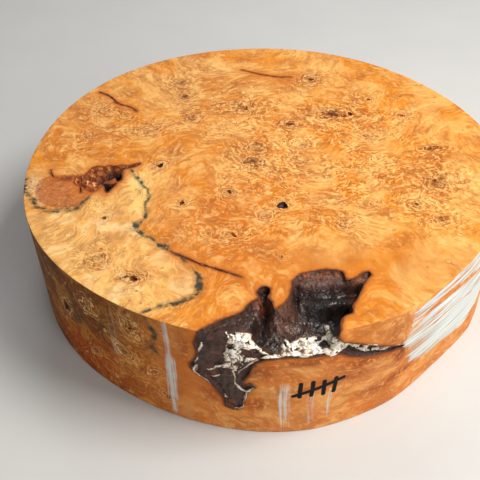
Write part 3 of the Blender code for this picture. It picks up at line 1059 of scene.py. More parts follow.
@dataclass
class BarkPocket(Hollow):
    """The bark pocket in the top face: a rough floor that sinks to a well, with a shelf on two sides."""

    name: str = "pocket"
    mouth: Route = (
        (-34, -152), (-34.5, -136), (-32.3, -133.4), (-29, -131), (-22, -127.2), (-15.3, -124.1),
        (-12.4, -121), (-9.4, -116.8), (-5.6, -114.9), (-6.6, -111), (-5.4, -108.2), (-3, -107),
        (-0.6, -108.2), (-0.4, -111.6), (-1.8, -114.2), (0.2, -117.7), (1.4, -122.8), (4.6, -120.8),
        (7, -118.6), (9.4, -113), (10.6, -108), (11.2, -104.6), (13.4, -101.2), (16.3, -99.3), (21, -97.8),
        (26, -96.9), (33, -97.2), (36.4, -98.4), (37.4, -101.4), (38, -104.5), (42, -103.5), (46, -101),
        (49.5, -99), (50.5, -101.5), (47, -106), (44, -112), (41, -118), (38.5, -121.5), (38, -126),
        (34, -128), (31.5, -132), (31, -139), (31, -152),
    )
    step: float = 0.85
    slot: int = 1
    wall_slope: float = 3.4
    floor: float = 13.0
    well: tuple[float, float, float, float] = (27.0, -123.0, 9.0, 5.0)

    def floor_depth(self, flat: Array) -> Array:
        """Gives the depth below the top face, away from the walls.

        Args:
            flat: X and Y.

        Returns:
            The depth at each place.
        """
        x, y = flat[:, 0], flat[:, 1]
        centre_x, centre_y, reach, extra = self.well
        sink = np.exp(-((np.hypot((x - centre_x) / 1.3, y - centre_y) / reach) ** 2))
        rough = lumps(flat, 7.0) * 2.8 + lumps(flat, 2.2, 2, 5.0) * 0.8 + (facets(flat, 1.9) - 0.4) * 1.1
        floor = self.floor + extra * sink + rough * blend(1.0, 0.35, sink)
        down = y + lumps(flat, 9.0) * 1.6
        wall = 2.4 + 5.8 * rise(-104.5, -108.5, down) + 8.5 * rise(-112.5, -118.5, down)
        wall = wall + lumps(flat * (0.45, 1.0), 4.0, 2, 6.0) * 0.55
        floor = blend(floor, wall, rise(12.0, 14.5, x) * rise(-121.0, -117.0, y))
        floor = floor - 6.0 * np.exp(-(((x - 11.3 - 0.1 * (y + 110.0)) / 1.5) ** 2)) * rise(-121.0, -116.0, y)
        floor = floor - 6.5 * np.exp(-(((x - 1.0) / 6.0) ** 2) - ((y + 124.0) / 8.0) ** 2)
        left_shelf = 2.2 + 0.06 * (x + 36.0) + lumps(flat, 9.0) * 0.7 + lumps(flat, 1.8, 2, 3.0) * 0.12
        shelf_edge = x + 14.0 - 0.42 * (y + 140.0) + lumps(flat, 4.0) * 1.2
        depth = blend(left_shelf, floor, rise(-2.0, 4.0, shelf_edge))
        back_shelf = 2.0 + lumps(flat, 6.0) * 0.5 + lumps(flat * (0.3, 1.6), 2.4, 2, 8.0) * 0.35
        return blend(depth, back_shelf, rise(-106.0, -103.6, y + lumps(flat, 5.0) * 1.2) * rise(9.0, 13.0, x))


@dataclass
class BarkBreakout(Hollow):
    """The same pocket where it breaks out of the side, and the seam that runs on from it."""

    name: str = "breakout"
    mouth: Route = (
        (-32, 86), (-35, 80), (-36, 74), (-37.8, 68), (-38.6, 63), (-37.5, 58), (-42, 46), (-34, 40),
        (-29.5, 34), (-25.7, 26), (-24.5, 20), (-18, 18.5), (-14.7, 25), (-13.7, 33), (-10.5, 38),
        (-15.4, 41), (-12, 48), (-8.5, 57), (0, 60.5), (10, 61), (19.5, 60), (27, 59.5), (32, 58),
        (39, 53.5), (46.5, 50.5), (56, 48.5), (63.5, 47), (69, 47.5), (58.5, 52), (51, 56), (44, 60),
        (36.5, 64), (32.4, 66.4), (30.6, 69.5), (30, 74), (29.6, 80), (27, 86),
    )
    step: float = 0.85
    slot: int = 1
    wall_slope: float = 1.9
    on_side: bool = True

    def floor_depth(self, flat: Array) -> Array:
        """Gives the depth inside the side, away from the walls.

        Args:
            flat: arc length and height.

        Returns:
            The depth at each place.
        """
        face = 1.8 + lumps(flat, 8.0) * 1.1 + lumps(flat * (1.5, 0.5), 2.2, 2, 4.0) * 0.35
        seam = 6.0 + lumps(flat, 5.0) * 1.5 + lumps(flat, 1.6, 2, 6.0) * 0.5
        return np.maximum(blend(face, seam, rise(-4.0, 30.0, flat[:, 0])), self.lip)


@dataclass
class LeftVoid(Hollow):
    """The smaller void on the left of the top face, with its deep spot on the right."""

    name: str = "void"
    mouth: Route = (
        (-108.5, -13.5), (-104, -11), (-101.5, -6), (-98, -2.8), (-93.5, -3.4), (-90, -2.6), (-86, -3),
        (-83, -2.2), (-80, -3.5), (-76, -2), (-72.4, -0.4), (-73.4, -2.8), (-78, -5), (-81.6, -5.8),
        (-82.6, -10), (-81.9, -15.4), (-84.3, -18), (-86.2, -14.6), (-88.4, -16.8), (-91.4, -17.4),
        (-93.4, -21), (-95.6, -25), (-99, -26.4), (-102.5, -23.2), (-106, -20.6), (-109, -18.4),
    )
    step: float = 0.7
    slot: int = 2
    wall_slope: float = 2.6
    deep_spot: tuple[float, float, float, float] = (-85.5, -9.0, 5.0, 3.5)

    def floor_depth(self, flat: Array) -> Array:
        """Gives the depth below the top face, away from the walls.

        Args:
            flat: X and Y.

        Returns:
            The depth at each place.
        """
        centre_x, centre_y, reach, extra = self.deep_spot
        sink = np.exp(-((np.hypot(flat[:, 0] - centre_x, flat[:, 1] - centre_y) / reach) ** 2))
        rough = lumps(flat, 4.0) * 2.2 + lumps(flat, 1.6, 2, 7.0) * 0.9 + (facets(flat, 2.4) - 0.4) * 1.6
        left = np.maximum(rise(-90.0, -102.0, flat[:, 0]), rise(-15.0, -20.0, flat[:, 1]))
        return np.maximum(4.6 - 3.2 * left + extra * sink + rough, 0.35)


@dataclass
class BarkNotch(Hollow):
    """The dark three-cornered notch beside the void."""

    name: str = "notch"
    mouth: Route = (
        (-93, -19.6), (-90, -20), (-86.5, -20.4), (-84.6, -19.2), (-86.5, -23.5), (-89.6, -28), (-91.4, -23),
    )
    step: float = 0.7
    slot: int = 1
    wall_slope: float = 3.0

    def floor_depth(self, flat: Array) -> Array:
        """Gives the depth below the top face, away from the walls."""
        return 5.5 + lumps(flat, 2.5) * 1.2


@dataclass(frozen=True)
class Crack:
    """A drying crack in the top face: a wedge along a wandering route."""

    name: str
    width: float
    sink: float
    route: Route
    stand: float = 3.0
    lip: float = 0.3

    def cutter(self) -> Object:
        """Builds the wedge that is taken out of the drum.

        Returns:
            The cutter, in millimetres.
        """
        points = smooth_route(self.route, 0.9)
        steps = np.gradient(points, axis=0)
        across = np.column_stack((-steps[:, 1], steps[:, 0])) / np.linalg.norm(steps, axis=1)[:, None]
        points = points + across * (lumps(points, 1.6, 2, 2.0) * 0.35)[:, None]
        taper = np.sin(np.pi * (np.arange(len(points)) + 0.5) / len(points)) ** 0.5
        spread = np.clip(taper * (0.75 + 0.55 * lumps(points, 3.0, 2, 9.0)), 0.16, 1.2)
        half = (self.width / 2 * spread)[:, None]
        sink = self.sink * np.maximum(0.35, taper)
        bm = bmesh.new()
        corners = ((1, -self.stand), (-1, -self.stand), (-1, self.lip), (0, sink), (1, self.lip))
        sections = [OUTLINE.on_top(points + across * half * way, depth) for way, depth in corners]
        rings = [[bm.verts.new(section[i]) for section in sections] for i in range(len(points))]
        skin(bm, rings)
        return cutter_object(self.name, bm, Slot.TORN.value)


@dataclass(frozen=True)
class BudHole:
    """The hole that a dead bud left: an oval cone with a rounded bottom."""

    u: float
    v: float
    length: float
    width: float
    turn: float
    sink: float
    on_side: bool = False
    sides: int = 20
    dark_from: float = 2.9
    profile: Route = ((-1.5, 1.08), (0, 1), (0.3, 0.94), (0.62, 0.72), (0.86, 0.46), (1, 0.16))

    def cutter(self) -> Object:
        """Builds the cone that is taken out of the drum.

        Returns:
            The cutter, in millimetres.
        """
        place = OUTLINE.on_side if self.on_side else OUTLINE.on_top
        lean = math.radians(self.turn)
        angles = np.arange(self.sides) * 2 * np.pi / self.sides
        wobble = 1.0 + 0.12 * np.sin(3 * angles + self.u) + 0.07 * np.sin(7 * angles + self.v)
        bm = bmesh.new()
        rings = []
        for share, spread in self.profile:
            a = self.length / 2 * np.cos(angles) * wobble * spread
            b = self.width / 2 * np.sin(angles) * wobble * spread
            u = self.u + a * math.cos(lean) - b * math.sin(lean)
            v = self.v + a * math.sin(lean) + b * math.cos(lean)
            depth = share * self.sink if share >= 0 else share
            rings.append([bm.verts.new(p) for p in place(np.column_stack((u, v)), depth).tolist()])
        skin(bm, rings)
        slot = Slot.BARK if self.sink > self.dark_from else Slot.TORN
        return cutter_object("bud_hole", bm, slot.value)


class Slot(Enum):
    """The wood mesh's material slots."""

    WOOD = 0
    BARK = 1
    TORN = 2


def skin(bm: BMesh, rings: list[list[BMVert]]) -> None:
    """Joins rings of vertices one after another, and closes the first and the last.

    Args:
        bm: the mesh that holds them.
        rings: lists of equal length.
    """
    count = len(rings[0])
    for lower, upper in zip(rings, rings[1:]):
        for i in range(count):
            j = (i + 1) % count
            bm.faces.new((lower[i], lower[j], upper[j], upper[i]))
    bm.faces.new(rings[0])
    bm.faces.new(rings[-1])


def total(areas: Route, points: Array) -> Array:
    """Adds up soft oval areas of a face that fade like a bell.

    Args:
        areas: the middle, the two reaches and the strength of each.
        points: places on the face.

    Returns:
        The sum at each place.
    """
    found = np.zeros(len(points))
    for u, v, reach_u, reach_v, strength in areas:
        bell = np.exp(-(((points[:, 0] - u) / reach_u) ** 2) - ((points[:, 1] - v) / reach_v) ** 2)
        found = found + strength * bell
    return found


@dataclass(frozen=True)
class Knot:
    """A placed knot or large eye: middle, radius, how long it is, its turn and how dark its heart is."""

    u: float
    v: float
    radius: float
    length: float = 1.0
    turn: float = 0.0
    ink: float = 0.8

    def nearness(self, u: Array, v: Array) -> Array:
        """Gives the distance from the knot's middle in radii, measured along its oval."""
        lean = math.radians(self.turn)
        along = (u - self.u) * math.cos(lean) + (v - self.v) * math.sin(lean)
        across = (v - self.v) * math.cos(lean) - (u - self.u) * math.sin(lean)
        return np.hypot(along / (self.radius * self.length), across / self.radius)


@dataclass
class FigureMap:
    """Where the figure changes, as numbers at each vertex: stain lines, patches, knots, tones, painted shade.
    """

    zone_line: Route = (
        (-77, -7, 0.5), (-75, -11.5, 0.7), (-70, -20.6, 0.7), (-66, -28, 0.5), (-64.9, -33, 0.5),
        (-66.6, -40, 0.5), (-65.5, -48, 0.5), (-66.5, -53, 1), (-70, -56, 1.7), (-69.6, -61.5, 1.1),
        (-65.2, -65.6, 0.9), (-60.5, -69, 0.4), (-57, -74.5, 0.8), (-54, -76, 2.1), (-50, -79, 0.5),
        (-45, -84, 0.35), (-40, -91, 0.35), (-36, -97, 0.6), (-35, -102, 1.5), (-35.5, -107, 1.7),
        (-38, -112, 1.3), (-44, -116, 1.5), (-52, -118, 1.1), (-58, -120, 0.8), (-63, -123, 0.6),
    )
    torn_edge: Route = (
        (-8.8, 56, 0.1), (-9.4, 50, 0.3), (-12, 45.5, 0.4), (-12.6, 43, 0.6), (-11, 40, 0.7),
        (-9.4, 38, 0.5), (-9.6, 35.5, 0.3), (-11.5, 33.5, 0.1),
    )
    zone_line_down: Route = (
        (-64.5, 75, 0.6), (-62.5, 69, 1), (-59.5, 64, 1), (-62, 57, 0.9), (-63, 53.5, 1.3), (-61, 50.5, 0.8),
        (-59, 48, 0.4),
    )
    patch_line: Route = (
        (-139, -14, 1.6), (-137, -25, 0.9), (-130, -33, 1.1), (-128, -39, 0.8), (-120, -42.5, 1.2),
        (-112, -43, 1.4), (-104, -41, 1.1), (-101, -35, 0.9), (-98.5, -31.5, 0.4),
    )
    butter: Route = ((-73, -24, 6, 15, 1), (-70, -38, 5, 10, 0.7))
    patch: Route = (
        (-130, -14), (-130, -30), (-122, -38), (-112, -40.5), (-103, -38.5), (-99, -31.5), (-94, -26),
        (-90, -21), (-96, -17), (-104, -13), (-118, -10),
    )
    pale: Route = (
        (-74, -8), (-65, -28), (-65.5, -45), (-69, -60), (-58, -73), (-50, -79), (-40, -91), (-34, -102),
        (-38, -113), (-52, -119), (-63, -124), (-63, -160), (-170, -160), (-170, -45), (-125, -44),
        (-104, -43), (-98, -30), (-88, -28),
    )
    knots: Route = (
        (-70.8, -29.4, 2, 2.3, -72, 0.3), (-20.5, -69, 6.5, 1.15, 10, 0.1), (-17.5, -68.3, 2.2, 1.6, -50, 1),
        (10, -45, 4.2, 1, 0, 0.3), (-60, -4, 5, 1.1, 70, 0.5), (-46, -40, 3, 1.5, 55, 0.9),
        (-19, -31, 5, 0.8, 80, 0.7), (-68.5, -98, 5.5, 1.5, -20, 0.9), (-88, -84, 7.5, 0.9, 30, 0.4),
        (-88, -51, 2.6, 1, 0, 1), (-8, 57, 9, 1.3, 0, 0.6), (-42, 47, 6.5, 1, 30, 0.7),
        (50, 46, 9, 1.7, -5, 0.9), (20, 36, 5, 1.6, -8, 0.9), (74, 63, 3, 1, 0, 0.9),
        (38, 91, 6, 1.5, -15, 0.7), (92, 42, 4, 1.4, 25, 0.6), (104, 4.5, 4.5, 1.9, 5, 0.8),
        (99, -27, 12.5, 1.2, 15, 0.3), (84, -48, 6, 1.2, -20, 0.5), (95, -61, 6.5, 1.1, 0, 0.3),
        (-48, 74, 5, 1.2, 40, 0.6), (-100, 60, 10, 1.15, -20, 0.05), (-86, 54, 6, 1.1, 30, 0.2),
        (-5, -3, 8, 0.9, 60, 0.7), (-2, 12, 7.5, 1, 0, 0.5), (0, -53, 4.5, 1.1, 0, 0.2),
        (-31, -66, 3, 1, 0, 0.3), (7, -86.5, 1.7, 1.4, -50, 0.8), (-15, 64, 4, 1, 0, 0.5),
        (-70, 35, 7, 1.5, 5, 0.1), (-108, 30, 4, 1, 0, 0.3), (60, -46, 4, 1.2, 10, 0.4),
        (68, 20, 5, 1, 0, 0.4), (42, -62, 5.5, 1.1, 35, 0.4), (27, 12, 4, 1.2, 0, 0.5),
        (-52, 92, 6, 1.2, 0, 0.4),
    )
    side_knots: Route = (
        (-127, 43.5, 6, 1.4, 60, 1), (-75, 60.5, 7, 1.3, -60, 0.5), (-105, 24, 3.5, 1.2, 10, 0.8),
        (-58, 15, 3.6, 1.2, -20, 0.8), (-63.5, 32.5, 3.4, 1.5, 30, 0.6), (-104, 60, 7, 1.2, -40, 0.4),
        (-82, 38, 5, 1.6, -30, 0.5), (205, 49, 7, 1.2, 15, 0.8), (262, 27, 6, 1.4, 70, 0.7),
        (318, 55, 8, 1.1, -25, 0.9), (150, 30, 5, 1.2, 35, 0.6), (-190, 24, 6.5, 1.2, -35, 0.8),
        (-236, 52, 7, 1.1, 55, 0.7), (-300, 30, 8, 1.3, 10, 0.6), (380, 40, 6, 1.2, -10, 0.7),
    )
    eyes: Route = (
        (45, -20, 45, 42, 0.75), (5, 5, 34, 36, 0.55), (-20, 55, 34, 26, 0.5), (60, 45, 42, 30, 0.5),
        (-15, -60, 30, 22, 0.35), (-103, 22, 22, 12, 0.6), (-95, -72, 30, 28, 0.35), (-92, -38, 12, 10, 0.5),
        (95, -30, 22, 30, 0.55), (-65, 110, 40, 20, 0.25), (30, 110, 26, 12, 0.3), (-60, -112, 26, 12, 0.4),
    )
    glow: Route = (
        (-30, -55, 30, 34, 1), (-8, -84, 34, 14, 0.7), (0, 0, 15, 28, 0.75), (-20, -104, 22, 16, 0.85),
        (5, -46, 36, 18, 0.6), (50, 49, 22, 9, 0.7), (-112, 26, 26, 20, 0.65), (-125, 60, 20, 30, 0.6),
        (62, 30, 24, 10, 0.4), (5, 48, 24, 14, 0.4), (60, -120, 22, 10, 0.55), (5, -113, 7, 11, 0.9),
    )
    brown: Route = (
        (-35, 88, 26, 20, 0.5), (25, 90, 32, 12, 0.5), (-50, 76, 14, 14, 0.45), (-68, 36, 14, 8, 0.4),
        (-100, 32, 26, 8, 0.3), (20, -92, 30, 6, 0.4), (72, -96, 34, 14, 0.5), (-95, -92, 16, 10, 0.3),
        (115, -15, 10, 30, 0.25), (-120, 75, 12, 14, 0.35), (6, -122, 9, 9, 1), (22, -102, 16, 3.5, 1),
    )
    calm: Route = (
        (30, -92, 34, 9, 0.9), (80, -95, 30, 20, 0.8), (30, 115, 34, 12, 0.5), (120, 60, 14, 40, 0.6),
        (-70, 20, 30, 9, 0.4), (-60, -104, 20, 10, 0.3),
    )
    # Browner areas of the side; the one on the left, at -115, is partly painted shade there.
    side_brown: Route = (
        (-52, 35, 9, 60, 0.75), (-115, 30, 26, 26, 0.35), (20, 40, 36, 14, 0.45), (64, 38, 14, 10, 0.9),
        (-10, 12, 22, 8, 0.3), (240, 40, 60, 30, 0.3), (-300, 30, 60, 30, 0.4), (12, 54, 24, 4, 0.6),
        (46, 40, 16, 8, 0.6), (2, 30, 9, 8, 0.4), (38, 18, 14, 7, 0.4), (-14, 6, 9, 5, 0.4),
    )
    side_glow: Route = ((-105, 12, 50, 20, 1), (30, 8, 50, 12, 0.4), (10, 50, 50, 8, 0.5))
    side_calm: Route = ((-48, 35, 16, 60, 0.9), (20, 20, 60, 36, 0.4), (110, 40, 50, 60, 0.5))
    side_eyes: Route = (
        (-105, 20, 34, 20, 0.45), (-200, 35, 60, 50, 0.4), (250, 35, 90, 50, 0.4), (-330, 35, 70, 50, 0.4),
    )
    wax_sheet: Route = (
        (66, 50), (71, 58), (70.5, 70), (78, 73), (100, 78), (160, 78), (178, 66), (186, 52), (170, 38),
        (150, 24), (130, 14), (120, 17), (100, 20), (84, 23), (76, 27), (73, 33), (71, 41),
    )
    wax_gaps: tuple[Route, ...] = (
        (
            (70, 56, 0.8), (75, 59, 1.2), (85, 62, 1.8), (95, 63.5, 2.8), (100, 64, 2.6), (110, 62, 1.8),
            (125, 58, 1.2), (135, 55, 0.8), (160, 50, 1),
        ),
        ((82, 48.5, 0.3), (87, 50, 0.6), (90, 52.5, 0.7), (96, 54, 0.7), (105, 53.5, 0.3)),
        ((92, 46.5, 0.3), (100, 48, 0.7), (107, 48.5, 0.8), (112, 47, 0.6), (120, 45, 0.7), (130, 41, 0.5)),
        ((70, 74, 2), (85, 74.5, 1.6), (100, 75, 1)),
    )
    # Where the left side is darker: partly its own tone, partly painted shade.
    left_tone_and_shade: Route = ((-110, 64, 42, 38, 1), (-112, 8, 40, 34, 0.6), (-178, 36, 54, 90, 0.8))
    mould: Route = ((-134, -18, 4, 8, 1), (-130, -33, 5, 4, 0.6))
    ember: Route = (
        (21, -99.2, 9, 1.4, 0.9), (33, -99.5, 6, 1.4, 0.7), (46, -103, 5, 1.6, 0.7), (41, -116, 2, 7, 0.8),
        (3, -120, 4, 3, 0.5), (-6, -116, 4, 3, 0.4),
    )
    gloss: Route = ((29, -113, 18, 7.5, 1.2), (44, -108, 6, 8, 0.8), (-18, -130, 14, 12, 0.5))
    torn: Route = ((-90.5, -18.5, 5, 3, 1), (-112, -13.5, 11, 3, 1), (-99, -24, 5, 4, 0.6))
    torn_side: Route = (
        (67, 43, 4, 7, 1), (72, 24, 9, 3, 0.7), (60, 55, 6, 2.5, 0.4), (46, 47, 14, 4, 0.75),
        (18, 56, 16, 3, 0.7), (-5, 50, 6, 5, 0.6), (34, 38, 16, 3, 0.5), (-9, 24, 8, 5, 0.6),
        (-32, 28, 6, 8, 0.55), (-44, 60, 4, 12, 0.5), (10, 34, 14, 3, 0.35), (56, 20, 14, 4, 0.5),
    )
    streak_pitch: float = 0.15

    def values(self, points: Array, rings: list[Array], cracks: list[Array]) -> dict[Stored, Array]:
        """Works out every number that the mesh holds.

        Args:
            points: the vertices in millimetres.
            rings: the mouths of the bark hollows in the top face.
            cracks: the routes of the cracks in the top face.

        Returns:
            An array for each name.
        """
        flat = points[:, :2]
        arc = OUTLINE.arc(points)
        height = points[:, 2]
        reach = OUTLINE.radius(np.arctan2(points[:, 1], points[:, 0]), points[:, 2])
        radial = reach - np.hypot(points[:, 0], points[:, 1])
        on_top = height > OUTLINE.height - 0.2
        on_side = (~on_top) & (radial < 0.3) & (height > 0.2)
        side = on_side.astype(float)
        unrolled = np.column_stack((arc, height))

        def mixed(top: Route, around: Route, rest: float = 0.0) -> Array:
            """Adds up the areas of the face that each vertex lies on."""
            return np.clip(np.where(on_side, total(around, unrolled) + rest, total(top, flat)), 0.0, 1.0)

        def measured(route: Route, step: float, face: Array, away: float = 30.0) -> Array:
            """Measures to a route with widths on one face, and gives a far distance on the others."""
            return np.where(face, route_gap(unrolled if face is on_side else flat, route, step), away)

        lines = ((self.zone_line, 2.0, on_top), (self.patch_line, 2.0, on_top))
        lines += ((self.zone_line_down, 2.0, on_side), (self.torn_edge, 1.5, on_side))
        stain = np.minimum.reduce([measured(*line) for line in lines])
        halo = np.minimum.reduce([-ring_distance(flat, ring) for ring in rings])
        halo = np.minimum(halo, np.minimum.reduce([route_distance(flat, crack) for crack in cracks]))
        breakout = -ring_distance(unrolled, smooth_route(BarkBreakout().mouth, 3.0, closed=True))
        knot, ink = self._knots(flat, unrolled, on_side)
        zone = smooth_route(self.zone_line, 4.0)[:, :2]
        patch = ring_distance(flat, smooth_route(self.patch, 2.0, closed=True))
        pale = rise(-2.0, 3.0, ring_distance(flat, np.array(self.pale, dtype=float)))
        return {
            Stored.STAIN: stain,
            Stored.PALE: np.where(on_top, pale, 0.0),
            Stored.PATCH: np.where(on_top, patch, -30.0),
            Stored.HALO: np.where(on_top, halo, np.where(on_side, breakout, 30.0)),
            Stored.KNOT: knot,
            Stored.KNOT_INK: ink,
            Stored.EYES: mixed(self.eyes, self.side_eyes, 0.08) * 0.8 + 0.06,
            Stored.GLOW: mixed(self.glow, self.side_glow),
            Stored.BROWN: mixed(self.brown, self.side_brown),
            Stored.CALM: mixed(self.calm, self.side_calm),
            Stored.SIDE: side,
            Stored.ARC: arc,
            Stored.SUNK: np.maximum(0.0, np.minimum(OUTLINE.height - height, np.maximum(radial, 0.0))),
            Stored.WAX: np.where(on_side, self._wax(unrolled), 0.0),
            Stored.LEFT_TONE_AND_SHADE: mixed((), self.left_tone_and_shade),
            Stored.FLOW: np.where(
                on_side, self._side_flow(arc, height), self._top_flow(flat, rings[0], zone)
            ),
            Stored.MOULD: mixed(self.mould, ()),
            Stored.EMBER: mixed(self.ember, ()),
            Stored.GLOSS: mixed(self.gloss, ()),
            Stored.TORN: mixed(self.torn, self.torn_side),
            Stored.BUTTER: mixed(self.butter, ()),
        }

    def _wax(self, unrolled: Array) -> Array:
        """Gives how thick the wax lies on the right front of the side, less what the brush missed."""
        cover = rise(-2.5, 4.0, ring_distance(unrolled, np.array(self.wax_sheet, dtype=float)))
        for gap in self.wax_gaps:
            cover = cover - 0.8 * rise(1.0, -0.8, route_gap(unrolled, gap, 3.0))
        return np.clip(cover, 0.0, 1.0) * 0.95

    def _top_flow(self, flat: Array, pocket: Array, zone: Array) -> Array:
        """Gives the height field whose contours the streaks of the top face follow.

        Args:
            flat: X and Y of the vertices.
            pocket: the pocket's mouth.
            zone: the long stain line.

        Returns:
            The field at each vertex: streaks run to the right, lean in the pale part and wrap the bark.
        """
        x, y = flat[:, 0], flat[:, 1]
        lean = rise(-30.0, -80.0, x) * rise(10.0, -40.0, y)
        field_height = y * self.streak_pitch - 0.12 * lean * (x + 30.0)
        waves = 3.6 * np.sin(x / 39.0 + y / 70.0) + 2.4 * np.sin(x / 22.0 - y / 30.0)
        field_height += waves + 1.2 * np.sin(x / 13.0 + y / 17.0)
        field_height += 4.0 * np.exp(-route_distance(flat, zone) / 11.0)
        return field_height + 4.5 * np.exp(-np.abs(ring_distance(flat, pocket)) / 12.0)

    def _side_flow(self, arc: Array, height: Array) -> Array:
        """Gives the field that the side's streaks follow: level, and sinking to the right at the front."""
        seam = smooth_route(((-12, 58), (10, 61), (32, 59), (50, 51), (70, 47)), 3.0)
        near = 3.5 * np.exp(-route_distance(np.column_stack((arc, height)), seam) / 9.0)
        return height * self.streak_pitch + arc * 0.05 + 1.2 * np.sin(arc / 23.0) + near

    def _knots(self, flat: Array, unrolled: Array, on_side: Array) -> tuple[Array, Array]:
        """Measures to the nearest knot of each vertex's own face.

        Args:
            flat: X and Y of the vertices.
            unrolled: their arc lengths and heights.
            on_side: which of them lie on the side.

        Returns:
            The distance in radii, and how dark that knot's heart is.
        """
        nearest = np.full(len(flat), 9.0)
        ink = np.zeros(len(flat))
        for knots, places, face in ((self.knots, flat, ~on_side), (self.side_knots, unrolled, on_side)):
            for knot in (Knot(*row) for row in knots):
                distance = knot.nearness(places[:, 0], places[:, 1])
                closer = face & (distance < nearest)
                nearest[closer] = distance[closer]
                ink[closer] = knot.ink
        return nearest, ink


